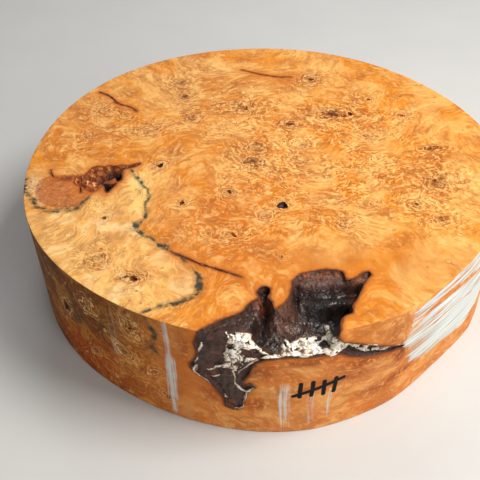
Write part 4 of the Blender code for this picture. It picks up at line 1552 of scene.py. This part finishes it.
@dataclass
class BurlRound:
    """The wood itself: the sawn drum less its hollows, cracks and bud holes."""

    columns: int = 520
    side_step: float = 1.75
    top_step: float = 1.2
    base_step: float = 3.0
    sharp_from: float = 42.0
    hollows: tuple[Hollow, ...] = field(
        default_factory=lambda: (BarkPocket(), BarkBreakout(), LeftVoid(), BarkNotch())
    )
    cracks: tuple[Crack, ...] = (
        Crack("rim_crack", 1.0, 5.0, ((-107, 83.5), (-101, 79), (-97, 74.5), (-94.5, 70.5), (-92, 67.8))),
        Crack("rim_crack_on", 0.7, 4.0, ((-95.5, 69.5), (-91, 66.4), (-87, 64.6), (-83, 62), (-79.5, 57.5))),
        Crack("back_crack", 0.7, 3.0, (
            (-9, 107.5), (-3, 104), (4, 100.5), (11, 97.5), (17, 95.7), (25, 95.3),
        )),
        Crack("front_crack", 0.9, 3.0, (
            (-49, -80.5), (-42, -85), (-36, -89), (-30, -92), (-24, -95), (-14, -100),
        )),
        Crack("left_check", 0.8, 2.5, ((-125.5, -4.5), (-124.5, -8), (-122.7, -11.5))),
        Crack("patch_check", 1.1, 3.0, ((-105.6, -20), (-105.2, -23.5), (-104.4, -27))),
    )
    top_buds: Route = (
        (10, -45, 6.2, 6, 0, 3.2), (-60, -3.8, 4.6, 2.8, 70, 3.5), (-46, -40, 3.4, 1.9, 55, 2.4),
        (-17.5, -68.3, 4.6, 1.8, -50, 2.4), (-68.2, -98.6, 4.6, 3, -30, 2.2), (74, 62.6, 2.6, 2, 30, 2.2),
        (-8, 57, 3.6, 5, 0, 1.6), (20, 36.2, 6, 2, -8, 1.8), (47, 46, 7.5, 3, -12, 1.6),
        (59.5, 45.6, 3, 4.6, 10, 2), (38.5, 91, 4, 1.8, -15, 1.8), (-19.4, -31, 2, 3.2, 20, 1.6),
        (104, 4.4, 5, 1.8, 5, 1.4), (92, 42, 3.4, 1.8, 25, 1.6), (-88, -50.8, 1.8, 1.8, 0, 1.8),
        (98, -27, 3.4, 2.2, 35, 1.6), (84, -47.6, 2.8, 1.8, -25, 1.4), (-48, 74, 3.8, 2.2, 40, 1.2),
    )
    side_buds: Route = (
        (-127, 43.5, 7, 3.2, 75, 3), (-75, 60.5, 3.6, 2, 20, 1.2), (-105, 24, 2.6, 2, 10, 1.6),
        (-58, 15, 3, 2, -20, 1.4), (-121, 17, 2, 1.6, 60, 1.4), (205, 49, 5, 2.6, 15, 2.2),
        (262, 27, 3.6, 2.4, 70, 1.8), (318, 55, 6, 2.8, -25, 2.4), (150, 30, 4, 2.2, 35, 1.8),
        (-190, 24, 4.2, 2.4, -35, 2), (-236, 52, 5.2, 2.2, 55, 1.8),
    )

    def build(self) -> Object:
        """Builds the wood's mesh with its finishes and stored numbers.

        Returns:
            The finished piece.
        """
        materials = [BurlFinish().material(), BarkFinish().material(), TornFinish().material()]
        cut = self._cut(materials)
        bm = bmesh.new()
        bm.from_mesh(cut)
        bpy.data.meshes.remove(cut)
        self._refill(bm, OUTLINE.height, 1.0, self.top_step)
        self._refill(bm, 0.0, -1.0, self.base_step)
        bmesh.ops.triangulate(bm, faces=bm.faces)
        mesh = mesh_of("burl_wood", bm)
        fill_slots(mesh, materials)
        points = coordinates(mesh)
        rings = [hollow.ring()[::3] for hollow in self.hollows if not hollow.on_side]
        cracks = [smooth_route(crack.route, 3.0) for crack in self.cracks]
        for name, values in FigureMap().values(points, rings, cracks).items():
            store(mesh, name, values)
        mesh.vertices.foreach_set("co", OUTLINE.to_frame(points).ravel())
        mesh.shade_smooth()
        mesh.set_sharp_from_angle(angle=math.radians(self.sharp_from))
        return shown("burl_wood", mesh)

    def _drum(self) -> Object:
        """Builds the whole drum, with a small break on each edge.

        Returns:
            The drum, in millimetres.
        """
        angles = np.arange(self.columns) * 2 * np.pi / self.columns
        edge = OUTLINE.edge_break
        rows = max(1, round((OUTLINE.height - 2 * edge) / self.side_step))
        heights = np.linspace(edge, OUTLINE.height - edge, rows + 1)
        levels = [(0.0, edge), (edge * 0.3, edge * 0.3), *((h, 0.0) for h in heights)]
        levels += [(OUTLINE.height - edge * 0.3, edge * 0.3), (OUTLINE.height, edge)]
        bm = bmesh.new()
        rings = []
        for height, inset in levels:
            places = OUTLINE.at(angles, np.full(self.columns, height), inset)
            rings.append([bm.verts.new(place) for place in places.tolist()])
        skin(bm, rings)
        bmesh.ops.recalc_face_normals(bm, faces=bm.faces)
        return shown("drum", mesh_of("drum", bm))

    def _cut(self, materials: Materials) -> Mesh:
        """Takes every hollow, crack and hole out of the drum.

        Args:
            materials: the wood's material slots.

        Returns:
            The cut mesh in millimetres.
        """
        tools = bpy.data.collections.new("cutters")
        bpy.context.scene.collection.children.link(tools)
        shapes = [shape.cutter() for shape in (*self.hollows, *self.cracks)]
        shapes += [BudHole(*row).cutter() for row in self.top_buds]
        shapes += [BudHole(*row, on_side=True).cutter() for row in self.side_buds]
        for shape in shapes:
            tools.objects.link(shape)
        drum = self._drum()
        for shape in (*shapes, drum):
            fill_slots(shape.data, materials)
        cut = drum.modifiers.new("hollows", "BOOLEAN")
        cut.operation = "DIFFERENCE"
        cut.solver = "EXACT"
        cut.operand_type = "COLLECTION"
        cut.collection = tools
        evaluated = drum.evaluated_get(bpy.context.evaluated_depsgraph_get())
        mesh = bpy.data.meshes.new_from_object(evaluated)
        for shape in (*shapes, drum):
            discard(shape)
        bpy.data.collections.remove(tools)
        return mesh

    def _refill(self, bm: BMesh, level: float, facing: float, step: float) -> None:
        """Replaces a flat face by an even mesh that keeps its border, so that it can hold fine numbers.

        Args:
            bm: the cut mesh.
            level: the face's height.
            facing: 1 where it faces up and -1 where it faces down.
            step: the distance between the new vertices.
        """
        faces = [
            f for f in bm.faces
            if all(abs(v.co.z - level) < 1e-4 for v in f.verts) and f.normal.z * facing > 0.9
        ]
        flat = set(faces)
        edges = dict.fromkeys(e for f in faces for e in f.edges)
        border = [e for e in edges if sum(f in flat for f in e.link_faces) == 1]
        corners = list({v for e in border for v in e.verts})
        corners.sort(key=lambda v: v.index)
        number = {v: i for i, v in enumerate(corners)}
        places = np.array([(v.co.x, v.co.y) for v in corners])
        pairs = [(number[e.verts[0]], number[e.verts[1]]) for e in border]
        starts, ends = places[[a for a, _ in pairs]], places[[b for _, b in pairs]]
        reach = OUTLINE.diameter / 2 + 6.0
        fill = staggered((-reach, -reach), (reach, reach), step)
        fill = fill[np.hypot(fill[:, 0], fill[:, 1]) < reach]
        fill = fill[inside(fill, starts, ends)]
        tree = KDTree(len(places))
        for i, place in enumerate(places.tolist()):
            tree.insert((*place, 0.0), i)
        tree.balance()
        fill = fill[[tree.find((*place, 0.0))[2] > 0.55 * step for place in fill.tolist()]]
        spots, triangles, origins = triangulated(np.vstack((places, fill)), pairs, [], 0, 1e-5)
        middles = spots[np.array(triangles)].mean(axis=1)
        known = np.array([bool(o) and min(o) >= len(corners) for o in origins])
        held = known[np.array(triangles)].any(axis=1)
        held[~held] = inside(middles[~held], starts, ends)
        bmesh.ops.delete(bm, geom=faces, context="FACES_ONLY")
        old = [next((corners[k] for k in o if k < len(corners)), None) for o in origins]
        verts = [v or bm.verts.new((*spot, level)) for v, spot in zip(old, spots.tolist())]
        for kept, (a, b, c) in zip(held, triangles):
            if kept:
                bm.faces.new((verts[a], verts[b], verts[c]) if facing > 0 else (verts[c], verts[b], verts[a]))


class Drape:
    """Finds where places on the unrolled side really lie, by rays that come in at the camera's slope."""

    def __init__(self, wood: Object, slope: float = 0.7343) -> None:
        """Prepares the search.

        Args:
            wood: the finished wood.
            slope: how far the rays point down, in radians.
        """
        places = coordinates(wood.data) / MM + OUTLINE.middle()
        polygons = [tuple(face.vertices) for face in wood.data.polygons]
        self.tree = BVHTree.FromPolygons(places.tolist(), polygons)
        self.ray = np.array((0.0, math.cos(slope), -math.sin(slope)))

    def land(self, flat: Array, away: float = 30.0) -> Array:
        """Lands places on the wood.

        Args:
            flat: arc length and height of each place.
            away: how far out the rays start, in millimetres.

        Returns:
            Where each ray meets the wood.
        """
        starts = OUTLINE.on_side(flat, 0.0) - self.ray * away
        landed = []
        for start in starts.tolist():
            place = self.tree.ray_cast(Vector(start), Vector(self.ray))[0]
            landed.append(tuple(place) if place else tuple(np.array(start) + self.ray * away))
        return np.array(landed)


def held_in(points: Array) -> Array:
    """Keeps places inside the sawn outline and below the top face."""
    reach = np.hypot(points[:, 0], points[:, 1])
    limit = OUTLINE.radius(np.arctan2(points[:, 1], points[:, 0]), points[:, 2]) - OUTLINE.inset / 4
    scale = np.minimum(1.0, limit / reach)
    top = OUTLINE.height - OUTLINE.inset / 4
    return np.column_stack((points[:, 0] * scale, points[:, 1] * scale, np.minimum(points[:, 2], top)))


@dataclass(frozen=True)
class CrustArea:
    """One area of rot on the unrolled side: its outline, mean height over the bark and size of folds."""

    outline: Route
    stand: float
    fold: float
    grain: float = 2.0


@dataclass
class RotCrust:
    """White rot that crusts the bark: sheets and veins that dip under the bark between their folds."""

    areas: tuple[CrustArea, ...] = (
        CrustArea(
            (
                (-22.5, 77), (-22, 72), (-23, 66), (-24.2, 60), (-24, 55), (-27, 52.3), (-30, 49.2),
                (-26, 50.2), (-22, 50.5), (-18, 49.3), (-16, 52), (-13.5, 55.5), (-10.5, 58), (-7.5, 60.5),
                (-12, 61.2), (-15.5, 63), (-12.5, 65.8), (-9, 66), (-6, 63.6), (-2, 62.4), (-3.5, 65),
                (-7.5, 69), (-10, 73), (-10.5, 77),
            ),
            0.25,
            1.4,
            2.6,
        ),
        CrustArea(
            (
                (-7, 60.3), (0, 60.8), (5, 62), (10, 61.3), (15, 59.8), (19, 61.2), (24, 60.4), (28, 57.2),
                (31.5, 59.3), (36, 60.6), (39, 61.5), (40, 63), (36, 64.8), (32, 67.5), (29.5, 70.5),
                (28, 76), (25.6, 76), (26, 70.4), (22, 70.8), (18, 71.8), (12, 71.6), (8, 70.2), (6, 72.6),
                (3.8, 69), (3.4, 65), (0, 63.8), (-3, 63.2),
            ),
            0.55,
            1.6,
            3.0,
        ),
        CrustArea(
            (
                (37, 61), (41, 57.4), (43.5, 54.8), (46.5, 53.4), (51, 52.2), (55.5, 50.4), (59, 50),
                (62, 50.4), (60, 52), (55, 53.4), (52.4, 56.2), (49.5, 58.6), (46, 59.6), (43, 60), (40, 63),
            ),
            0.4,
            1.2,
            2.2,
        ),
    )
    gaps: Route = (
        (24.5, 65.6, 3.2, 1.7, 2.6), (43.6, 58.2, 1.6, 1, 2), (49, 55, 2.6, 0.9, 2),
        (-21, 68, 1.5, 1.2, 1.8), (-13, 62.5, 2.5, 1, 1.6), (2.5, 66, 2, 3, 1.4),
    )
    veins: tuple[Route, ...] = (
        ((-34.4, 66.5, 0.6), (-35.2, 64, 0.9), (-36.2, 61, 0.7), (-36.6, 59, 0.2)),
        ((-37, 56.5, 0.2), (-37.8, 54, 0.5), (-38.8, 51.5, 0.4), (-39.6, 50, 0.2)),
        (
            (-38, 49.6, 0.4), (-39.6, 47, 0.8), (-40.6, 45, 0.7), (-39.6, 43, 0.5), (-37, 41, 0.45),
            (-34, 39, 0.5), (-31.6, 37, 0.3),
        ),
        ((-38.2, 48, 0.5), (-38.4, 45.6, 0.4), (-39.2, 44, 0.4)),
        ((-33.2, 47.6, 0.4), (-31, 47.8, 0.55), (-29, 49.4, 0.5), (-27.4, 51.5, 0.5)),
        ((-31, 42.2, 0.35), (-29, 43.1, 0.6), (-27, 44.3, 0.5), (-25.8, 45.1, 0.2)),
        ((-25.4, 45.4, 0.2), (-22.4, 44.9, 0.25), (-20, 46, 0.25)),
        (
            (-19.6, 50, 0.6), (-19.6, 47.4, 0.5), (-18.6, 44.8, 0.6), (-19, 41.6, 0.45), (-18.2, 38.6, 0.7),
            (-16.2, 36, 1),
        ),
        ((-18.6, 37.4, 0.4), (-15.4, 34.6, 1.2), (-13, 34.4, 1.1), (-11, 36.4, 0.6), (-10, 37.6, 0.2)),
        ((-13.4, 33, 0.5), (-13.9, 30, 0.8), (-14.4, 27, 0.6), (-15.4, 24.4, 0.4)),
        ((-15.4, 24.4, 0.4), (-15.3, 21.4, 0.5), (-17, 19.5, 0.55), (-19.8, 19.2, 0.4)),
        ((-24.9, 29.4, 0.4), (-24, 27.3, 0.5), (-23.6, 26.4, 0.2)),
        ((-17.4, 47.6, 0.3), (-15.4, 50.6, 0.4), (-12.6, 54.2, 0.5), (-10, 57.6, 0.6), (-7.4, 59.6, 0.5)),
        ((62, 51, 0.3), (64.6, 49.8, 0.5), (67, 49, 0.2)),
        ((-16.8, 75, 0.5), (-14.6, 70, 0.7), (-12, 66.6, 0.6)),
    )
    window: tuple[float, float, float, float] = (-43.0, 69.0, 17.0, 78.0)
    step: float = 0.4
    under: float = 1.1
    dip: float = -0.5

    def build(self, drape: Drape) -> Object:
        """Builds every sheet and vein as closed shapes on the bark.

        Args:
            drape: what lands places on the wood.

        Returns:
            The finished piece.
        """
        left, right, low, high = self.window
        u, v = np.meshgrid(np.arange(left, right, self.step), np.arange(low, high, self.step))
        flat = np.column_stack((u.ravel(), v.ravel()))
        height = self._height(flat)
        solid = (height > self.dip).reshape(u.shape)
        cells = solid[:-1, :-1] & solid[1:, :-1] & solid[:-1, 1:] & solid[1:, 1:]
        cells = without_corner_contacts(cells)
        used, numbers = np.unique(grid_quads(u.shape)[cells], return_inverse=True)
        quads = numbers.reshape(-1, 4)
        landed = drape.land(flat[used])
        raised = height[used, None]
        upper = held_in(landed - drape.ray * np.maximum(raised, self.dip))
        lower = landed + drape.ray * self.under
        made = written("rot_crust", *slab(upper, lower, quads), [RotFinish().material()])
        store(made.data, Stored.CREST, np.tile(np.clip(height[used] * 0.6, 0.0, 1.0), 2))
        made.data.shade_smooth()
        return made

    def _height(self, flat: Array) -> Array:
        """Gives the rot's height over the bark, below zero where the bark shows."""
        height = np.full(len(flat), -9.0)
        wander = flat + np.column_stack((lumps(flat, 2.4, 2, 1.0), lumps(flat, 2.4, 2, 7.0))) * 0.7
        gap = total(self.gaps, flat)
        for area in self.areas:
            edge = ring_distance(wander, smooth_route(area.outline, 1.2, closed=True))
            near = edge > -1.5
            folds = np.minimum(1.0, 3.2 * np.abs(lumps(wander[near] * (1.0, 0.75), area.grain, 2, 3.0)))
            swell = lumps(flat[near], 4.0, 2, 4.0) * 0.5
            holes = 2.4 * rise(0.34, 0.5, lumps(wander[near], area.grain * 1.4, 2, 11.0))
            own = area.stand + area.fold * folds + swell - gap[near] - holes
            height[near] = np.maximum(height[near], np.minimum(own, edge[near] * 1.6))
        for vein in self.veins:
            edge = -route_gap(wander, vein, 0.8)
            own = np.minimum(edge * 1.4, 0.65) + np.where(edge > -1.0, 0.25, 0.0)
            height = np.maximum(height, own)
        return height


def without_corner_contacts(cells: Array) -> Array:
    """Fills cells until no two of them touch at a corner alone, so that their slab stays a clean shell.

    Args:
        cells: which cells of a grid are filled.

    Returns:
        The filled cells.
    """
    cells = cells.copy()
    for _ in range(12):
        a, b, c, d = cells[:-1, :-1], cells[:-1, 1:], cells[1:, :-1], cells[1:, 1:]
        falling = a & d & ~b & ~c
        rising = b & c & ~a & ~d
        if not (falling.any() or rising.any()):
            break
        b |= falling
        a |= rising
    return cells


def grid_quads(shape: tuple[int, int]) -> Array:
    """Numbers the corners of each cell of a grid of points."""
    corner = np.arange(shape[0] * shape[1]).reshape(shape)
    return np.stack((corner[:-1, :-1], corner[:-1, 1:], corner[1:, 1:], corner[1:, :-1]), axis=-1)


def slab(upper: Array, lower: Array, quads: Array) -> tuple[Array, list]:
    """Closes two copies of a sheet into a slab.

    Args:
        upper: places of the outer sheet.
        lower: places of the inner sheet.
        quads: corner numbers of the sheet's faces.

    Returns:
        All places and all faces.
    """
    count = len(upper)
    faces = [tuple(quad) for quad in quads.tolist()]
    directed = {(quad[i], quad[(i + 1) % len(quad)]) for quad in faces for i in range(len(quad))}
    rim = [(a, b) for a, b in sorted(directed) if (b, a) not in directed]
    back = [tuple(reversed([corner + count for corner in quad])) for quad in faces]
    walls = [(b, a, a + count, b + count) for a, b in rim]
    return np.vstack((upper, lower)), faces + back + walls


@dataclass
class PenTally:
    """A felt-pen tally on the front: four strokes with a fifth across them."""

    strokes: tuple[Route, ...] = (
        ((13.4, 41.2), (13, 35), (12.8, 28.6)),
        ((19.4, 41.6), (19.2, 35), (18.6, 29)),
        ((25.2, 41), (25, 35.2), (24.9, 28.4)),
        ((31.2, 41.4), (30.8, 35), (30.2, 28.8)),
        ((8.6, 30.4), (20, 34.4), (36.2, 39.6)),
    )
    width: float = 2.3
    stand: float = 0.05
    sunk: float = 0.25
    across: int = 6

    def build(self) -> Object:
        """Builds the strokes as thin ribbons that follow the side.

        Returns:
            The finished piece.
        """
        places: list[Array] = []
        faces: list = []
        total = 0
        for i, stroke in enumerate(self.strokes):
            upper, lower, quads = self._ribbon(smooth_route(stroke, 0.45), float(i))
            points, own = slab(upper, lower, quads)
            faces += [tuple(corner + total for corner in face) for face in own]
            places.append(points)
            total += len(points)
        return written("pen_tally", np.vstack(places), faces, [InkFinish().material()])

    def _ribbon(self, line: Array, seed: float) -> tuple[Array, Array, Array]:
        """Lays one stroke out.

        Args:
            line: the stroke's middle as arc lengths and heights.
            seed: a number that gives the stroke its own wobble.

        Returns:
            The outer places, the inner places and the faces' corner numbers.
        """
        steps = np.gradient(line, axis=0)
        steps /= np.linalg.norm(steps, axis=1)[:, None]
        side = np.column_stack((steps[:, 1], -steps[:, 0]))
        run = np.concatenate(((0.0,), np.cumsum(np.linalg.norm(np.diff(line, axis=0), axis=1))))
        nearest = np.minimum(run, run[-1] - run) + 0.12
        half = self.width / 2
        round_end = np.sqrt(np.clip(1.0 - (np.maximum(0.0, half - nearest) / half) ** 2, 0.02, 1.0))
        wobble = 1.0 + 0.07 * lumps(line, 3.0, 2, seed) + 0.04 * lumps(line, 0.9, 1, seed + 4.0)
        shares = np.linspace(-1.0, 1.0, self.across + 1)
        spread = (half * round_end * wobble)[:, None, None] * shares[None, :, None] * side[:, None, :]
        flat = (line[:, None, :] + spread).reshape(-1, 2)
        quads = grid_quads((len(line), self.across + 1)).reshape(-1, 4)
        return OUTLINE.on_side(flat, -self.stand), OUTLINE.on_side(flat, self.sunk), quads


class Growth:
    """A Geometry Nodes group under construction, with named inputs that its modifier sets."""

    def __init__(self, name: str) -> None:
        """Starts a group that takes and gives geometry."""
        self.group = bpy.data.node_groups.new(name, "GeometryNodeTree")
        for way in ("INPUT", "OUTPUT"):
            self.group.interface.new_socket("Geometry", in_out=way, socket_type="NodeSocketGeometry")
        self.entry = self.group.nodes.new("NodeGroupInput")
        self.start = self.entry.outputs["Geometry"]
        self.values: dict[str, object] = {}

    def takes(self, name: str, kind: str, value: object) -> NodeSocket:
        """Adds a named input.

        Args:
            name: the input's name.
            kind: Float, Int or Material.
            value: what the modifier sets it to.

        Returns:
            The socket that carries it inside the group.
        """
        self.group.interface.new_socket(name, in_out="INPUT", socket_type="NodeSocket" + kind)
        self.values[name] = value
        return self.entry.outputs[name]

    def node(self, kind: str, settings: dict | None = None, **inputs: object) -> NodeSocket:
        """Adds a node.

        Args:
            kind: the node's type.
            settings: values for the node's own properties.
            **inputs: sockets or values for its inputs by name, with _ for each space.

        Returns:
            The first output in use.
        """
        node = self.group.nodes.new(kind)
        for name, value in (settings or {}).items():
            setattr(node, name, value)
        for name, value in inputs.items():
            slot = next(s for s in node.inputs if s.name == name.replace("_", " ") and s.enabled)
            if isinstance(value, NodeSocket):
                self.group.links.new(value, slot)
            else:
                slot.default_value = value
        return next(s for s in node.outputs if s.enabled)

    def drawn(self, least: object, greatest: object, seed: NodeSocket) -> NodeSocket:
        """Draws a random number, or a random vector where the bounds are tuples."""
        kind = {"data_type": "FLOAT_VECTOR" if isinstance(least, tuple) else "FLOAT"}
        return self.node("FunctionNodeRandomValue", kind, Min=least, Max=greatest, Seed=seed)

    def grown(
        self, carrier: Object, material: Material, **copies: NodeSocket
    ) -> Object:
        """Puts a copy of something on each point of a carrier and keeps them as one plain mesh.

        Args:
            carrier: the object that the group starts from, which is removed.
            material: the finish of every copy.
            **copies: the points, the instance on them, and its rotation and scale.

        Returns:
            The new piece, at the origin.
        """
        placed = self.node("GeometryNodeInstanceOnPoints", **copies)
        real = self.node("GeometryNodeRealizeInstances", Geometry=placed)
        finish = self.takes("Material", "Material", material)
        last = self.node("GeometryNodeSetMaterial", Geometry=real, Material=finish)
        self.group.links.new(last, self.group.nodes.new("NodeGroupOutput").inputs["Geometry"])
        modifier = carrier.modifiers.new(self.group.name, "NODES")
        modifier.node_group = self.group
        for item in self.group.interface.items_tree:
            if item.in_out == "INPUT" and item.name in self.values:
                modifier[item.identifier] = self.values[item.name]
        evaluated = carrier.evaluated_get(bpy.context.evaluated_depsgraph_get())
        mesh = bpy.data.meshes.new_from_object(evaluated)
        mesh.name = self.group.name
        carrier.modifiers.remove(modifier)
        discard(carrier)
        return shown(self.group.name, mesh)


@dataclass
class RotCrumbs:
    """Loose crumbs of rot that lie on the bark round the crust."""

    field: Route = (
        (-22, 77), (-24, 60), (-30, 48), (-18, 46), (-8, 59), (14, 60.5), (30, 58), (33, 66), (28, 77),
    )
    step: float = 1.2
    stand: float = 0.1
    longest: float = 3.5
    per_square: float = 0.16
    seed: int = 11
    least: float = 0.16
    greatest: float = 0.5

    def build(self, drape: Drape, material: Material) -> Object:
        """Scatters the crumbs.

        Args:
            drape: what lands places on the wood.
            material: the rot's material.

        Returns:
            The finished piece.
        """
        flat = filling_points(smooth_route(self.field, 2.0, closed=True), self.step)
        flat, triangles, _ = triangulated(flat, [], [], 0, 1e-4)
        places = drape.land(flat) - drape.ray * self.stand
        sizes = [np.ptp(places[list(t)], axis=0).max() for t in triangles]
        kept = [tuple(t) for t, size in zip(triangles, sizes) if size < self.longest * self.step]
        group = Growth("rot_crumbs")
        density = group.takes("Per Square Metre", "Float", self.per_square / MM**2)
        seed = group.takes("Seed", "Int", self.seed)
        least = group.takes("Least Size", "Float", self.least * MM)
        greatest = group.takes("Greatest Size", "Float", self.greatest * MM)
        spots = group.node(
            "GeometryNodeDistributePointsOnFaces", Mesh=group.start, Density=density, Seed=seed
        )
        crumb = group.node("GeometryNodeMeshIcoSphere", Radius=1.0, Subdivisions=1)
        turn = group.drawn((0.0, 0.0, 0.0), (math.tau, math.tau, math.tau), seed)
        shape = group.drawn((0.4, 0.4, 0.3), (1.6, 1.1, 0.8), seed)
        size = group.drawn(least, greatest, seed)
        scale = group.node("ShaderNodeVectorMath", {"operation": "SCALE"}, Vector=shape, Scale=size)
        carrier = written("crumb_field", places, kept, [])
        return group.grown(carrier, material, Points=spots, Instance=crumb, Rotation=turn, Scale=scale)


@dataclass
class TornFibres:
    """Wood fibres that the saw tore up along two stretches of the rim."""

    stretches: tuple[tuple[float, float], ...] = ((296, 321), (236, 250), (-316, -309))
    below_rim: float = 2.7
    spacing: float = 0.28
    thickness: float = 0.16
    sunk: float = 0.4
    least: float = 0.8
    greatest: float = 2.6
    seed: int = 5

    def build(self) -> Object:
        """Grows tapered fibres along each stretch.

        Returns:
            The finished piece.
        """
        places: list[tuple[float, float, float]] = []
        edges: list[tuple[int, int]] = []
        for start, end in self.stretches:
            arcs = np.arange(start, end, 1.0)
            first = len(places)
            flat = np.column_stack((arcs, np.full(len(arcs), OUTLINE.height - self.below_rim)))
            places += OUTLINE.on_side(flat, self.sunk).tolist()
            edges += [(i, i + 1) for i in range(first, len(places) - 1)]
        mesh = bpy.data.meshes.new("rim_path")
        mesh.from_pydata(OUTLINE.to_frame(np.array(places)).tolist(), edges, [])
        group = Growth("torn_fibres")
        spacing = group.takes("Spacing", "Float", self.spacing * MM)
        seed = group.takes("Seed", "Int", self.seed)
        thickness = group.takes("Thickness", "Float", self.thickness * MM)
        least = group.takes("Least Length", "Float", self.least * MM)
        greatest = group.takes("Greatest Length", "Float", self.greatest * MM)
        path = group.node("GeometryNodeMeshToCurve", Mesh=group.start)
        spots = group.node("GeometryNodeCurveToPoints", {"mode": "LENGTH"}, Curve=path, Length=spacing)
        sizes = {"Radius_Top": 0.1, "Radius_Bottom": 1.0, "Depth": 1.0}
        needle = group.node("GeometryNodeMeshCone", Vertices=5, Side_Segments=1, **sizes)
        tilt = group.drawn((-0.5, 1.1, -0.9), (0.5, 1.62, 0.9), seed)
        size = group.node(
            "ShaderNodeCombineXYZ", X=thickness, Y=thickness, Z=group.drawn(least, greatest, seed)
        )
        place = group.node("GeometryNodeInputPosition")
        outward = group.node("FunctionNodeAlignRotationToVector", {"axis": "X"}, Vector=place)
        local = {"rotation_space": "LOCAL"}
        turned = group.node("FunctionNodeRotateRotation", local, Rotation=outward, Rotate_By=tilt)
        carrier, finish = shown("rim_path", mesh), TornFinish().material()
        return group.grown(carrier, finish, Points=spots, Instance=needle, Rotation=turned, Scale=size)


@dataclass(frozen=True)
class Studio:
    """The pale floor, the soft lights and the camera."""

    focal_px: float = 734.52
    frame_px: float = 480.0
    pitch: float = 0.7343
    roll: float = 0.0330
    distance: float = 3.5656 * 140.0
    aim: tuple[float, float] = (0.1012 * 140.0, -0.0761 * 140.0)
    sensor: float = 36.0
    floor_reach: float = 3.0
    floor_gap: float = 0.0002

    def build(self) -> None:
        """Sets up the floor, the lights, the surroundings and the camera."""
        self._floor()
        self._camera()
        self._light("key_light", (0.6, -0.15, 0.9), 0.5, 12.9, (1.0, 0.97, 0.92))
        self._light("window_light", (-0.1, 0.85, 0.85), 0.5, 2.4, (0.92, 0.95, 1.0))
        self._light("front_fill", (0.5, -0.95, 0.45), 0.6, 5.6, (1.0, 0.97, 0.94))
        world = bpy.data.worlds.new("surroundings")
        world.use_nodes = True
        sky = world.node_tree.nodes["Background"].inputs
        sky["Color"].default_value = (1.0, 0.98, 0.95, 1.0)
        sky["Strength"].default_value = 0.2
        bpy.context.scene.world = world
        bpy.context.scene.view_settings.view_transform = "Standard"

    def _floor(self) -> None:
        """Lays the plain pale floor."""
        mesh = bpy.data.meshes.new("floor")
        ways = ((-1, -1), (1, -1), (1, 1), (-1, 1))
        corners = [(x * self.floor_reach, y * self.floor_reach, -self.floor_gap) for x, y in ways]
        mesh.from_pydata(corners, [], [(0, 1, 2, 3)])
        sheet = Sheet("floor_paint")
        colour = sheet.colour(srgb(206, 206, 204)).tinted(srgb(198, 198, 197), sheet.cloud(60.0, 3.0))
        mesh.materials.append(sheet.finish(colour, 0.6, sheet.cloud(2.0), 0.02))
        floor = shown("floor", mesh)

    def _light(self, name: str, place: tuple, size: float, power: float, colour: tuple) -> None:
        """Hangs one soft light that shines at the round.

        Args:
            name: the light's name.
            place: where it hangs, in metres.
            size: the side of its square panel.
            power: its power in watts.
            colour: its colour.
        """
        lamp = bpy.data.lights.new(name, "AREA")
        lamp.size = size
        lamp.energy = power
        lamp.color = colour
        made = shown(name, lamp)
        made.location = place
        made.rotation_euler = (Vector((0, 0, 0.05)) - Vector(place)).to_track_quat("-Z", "Y").to_euler()

    def _camera(self) -> None:
        """Sets the camera where the photograph was taken from."""
        back = Vector((0.0, -math.cos(self.pitch), math.sin(self.pitch)))
        level_right = Vector((1.0, 0.0, 0.0))
        level_up = Vector((0.0, math.sin(self.pitch), math.cos(self.pitch)))
        right = math.cos(self.roll) * level_right - math.sin(self.roll) * level_up
        up = math.sin(self.roll) * level_right + math.cos(self.roll) * level_up
        place = back * self.distance - Vector((*self.aim, 0.0)) - Vector(OUTLINE.middle())
        lens = bpy.data.cameras.new("camera")
        lens.sensor_width = self.sensor
        lens.lens = self.sensor * self.focal_px / self.frame_px
        lens.clip_start = 0.01
        camera = shown("camera", lens)
        turned = [(right[i], up[i], back[i], place[i] * MM) for i in range(3)]
        camera.matrix_world = Matrix((*turned, (0.0, 0.0, 0.0, 1.0)))
        bpy.context.scene.camera = camera


def dress(piece: Object) -> None:
    """Ties a piece to the model: what it rides on and what it stands for.

    Args:
        piece: the finished piece.
    """
    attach(piece, BODY)
    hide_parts(NODE)
    piece.data.calc_loop_triangles()
    LOG.info("%s: %d triangles", piece.name, len(piece.data.loop_triangles))


def main() -> None:
    """Builds the studio and every piece in order."""
    logging.basicConfig(level=logging.INFO, format="%(name)s %(message)s")
    Studio().build()
    wood = BurlRound().build()
    dress(wood)
    drape = Drape(wood)
    crust = RotCrust().build(drape)
    dress(crust)
    dress(RotCrumbs().build(drape, crust.data.materials[0]))
    dress(PenTally().build())
    dress(TornFibres().build())


if __name__ == "__main__":
    main()
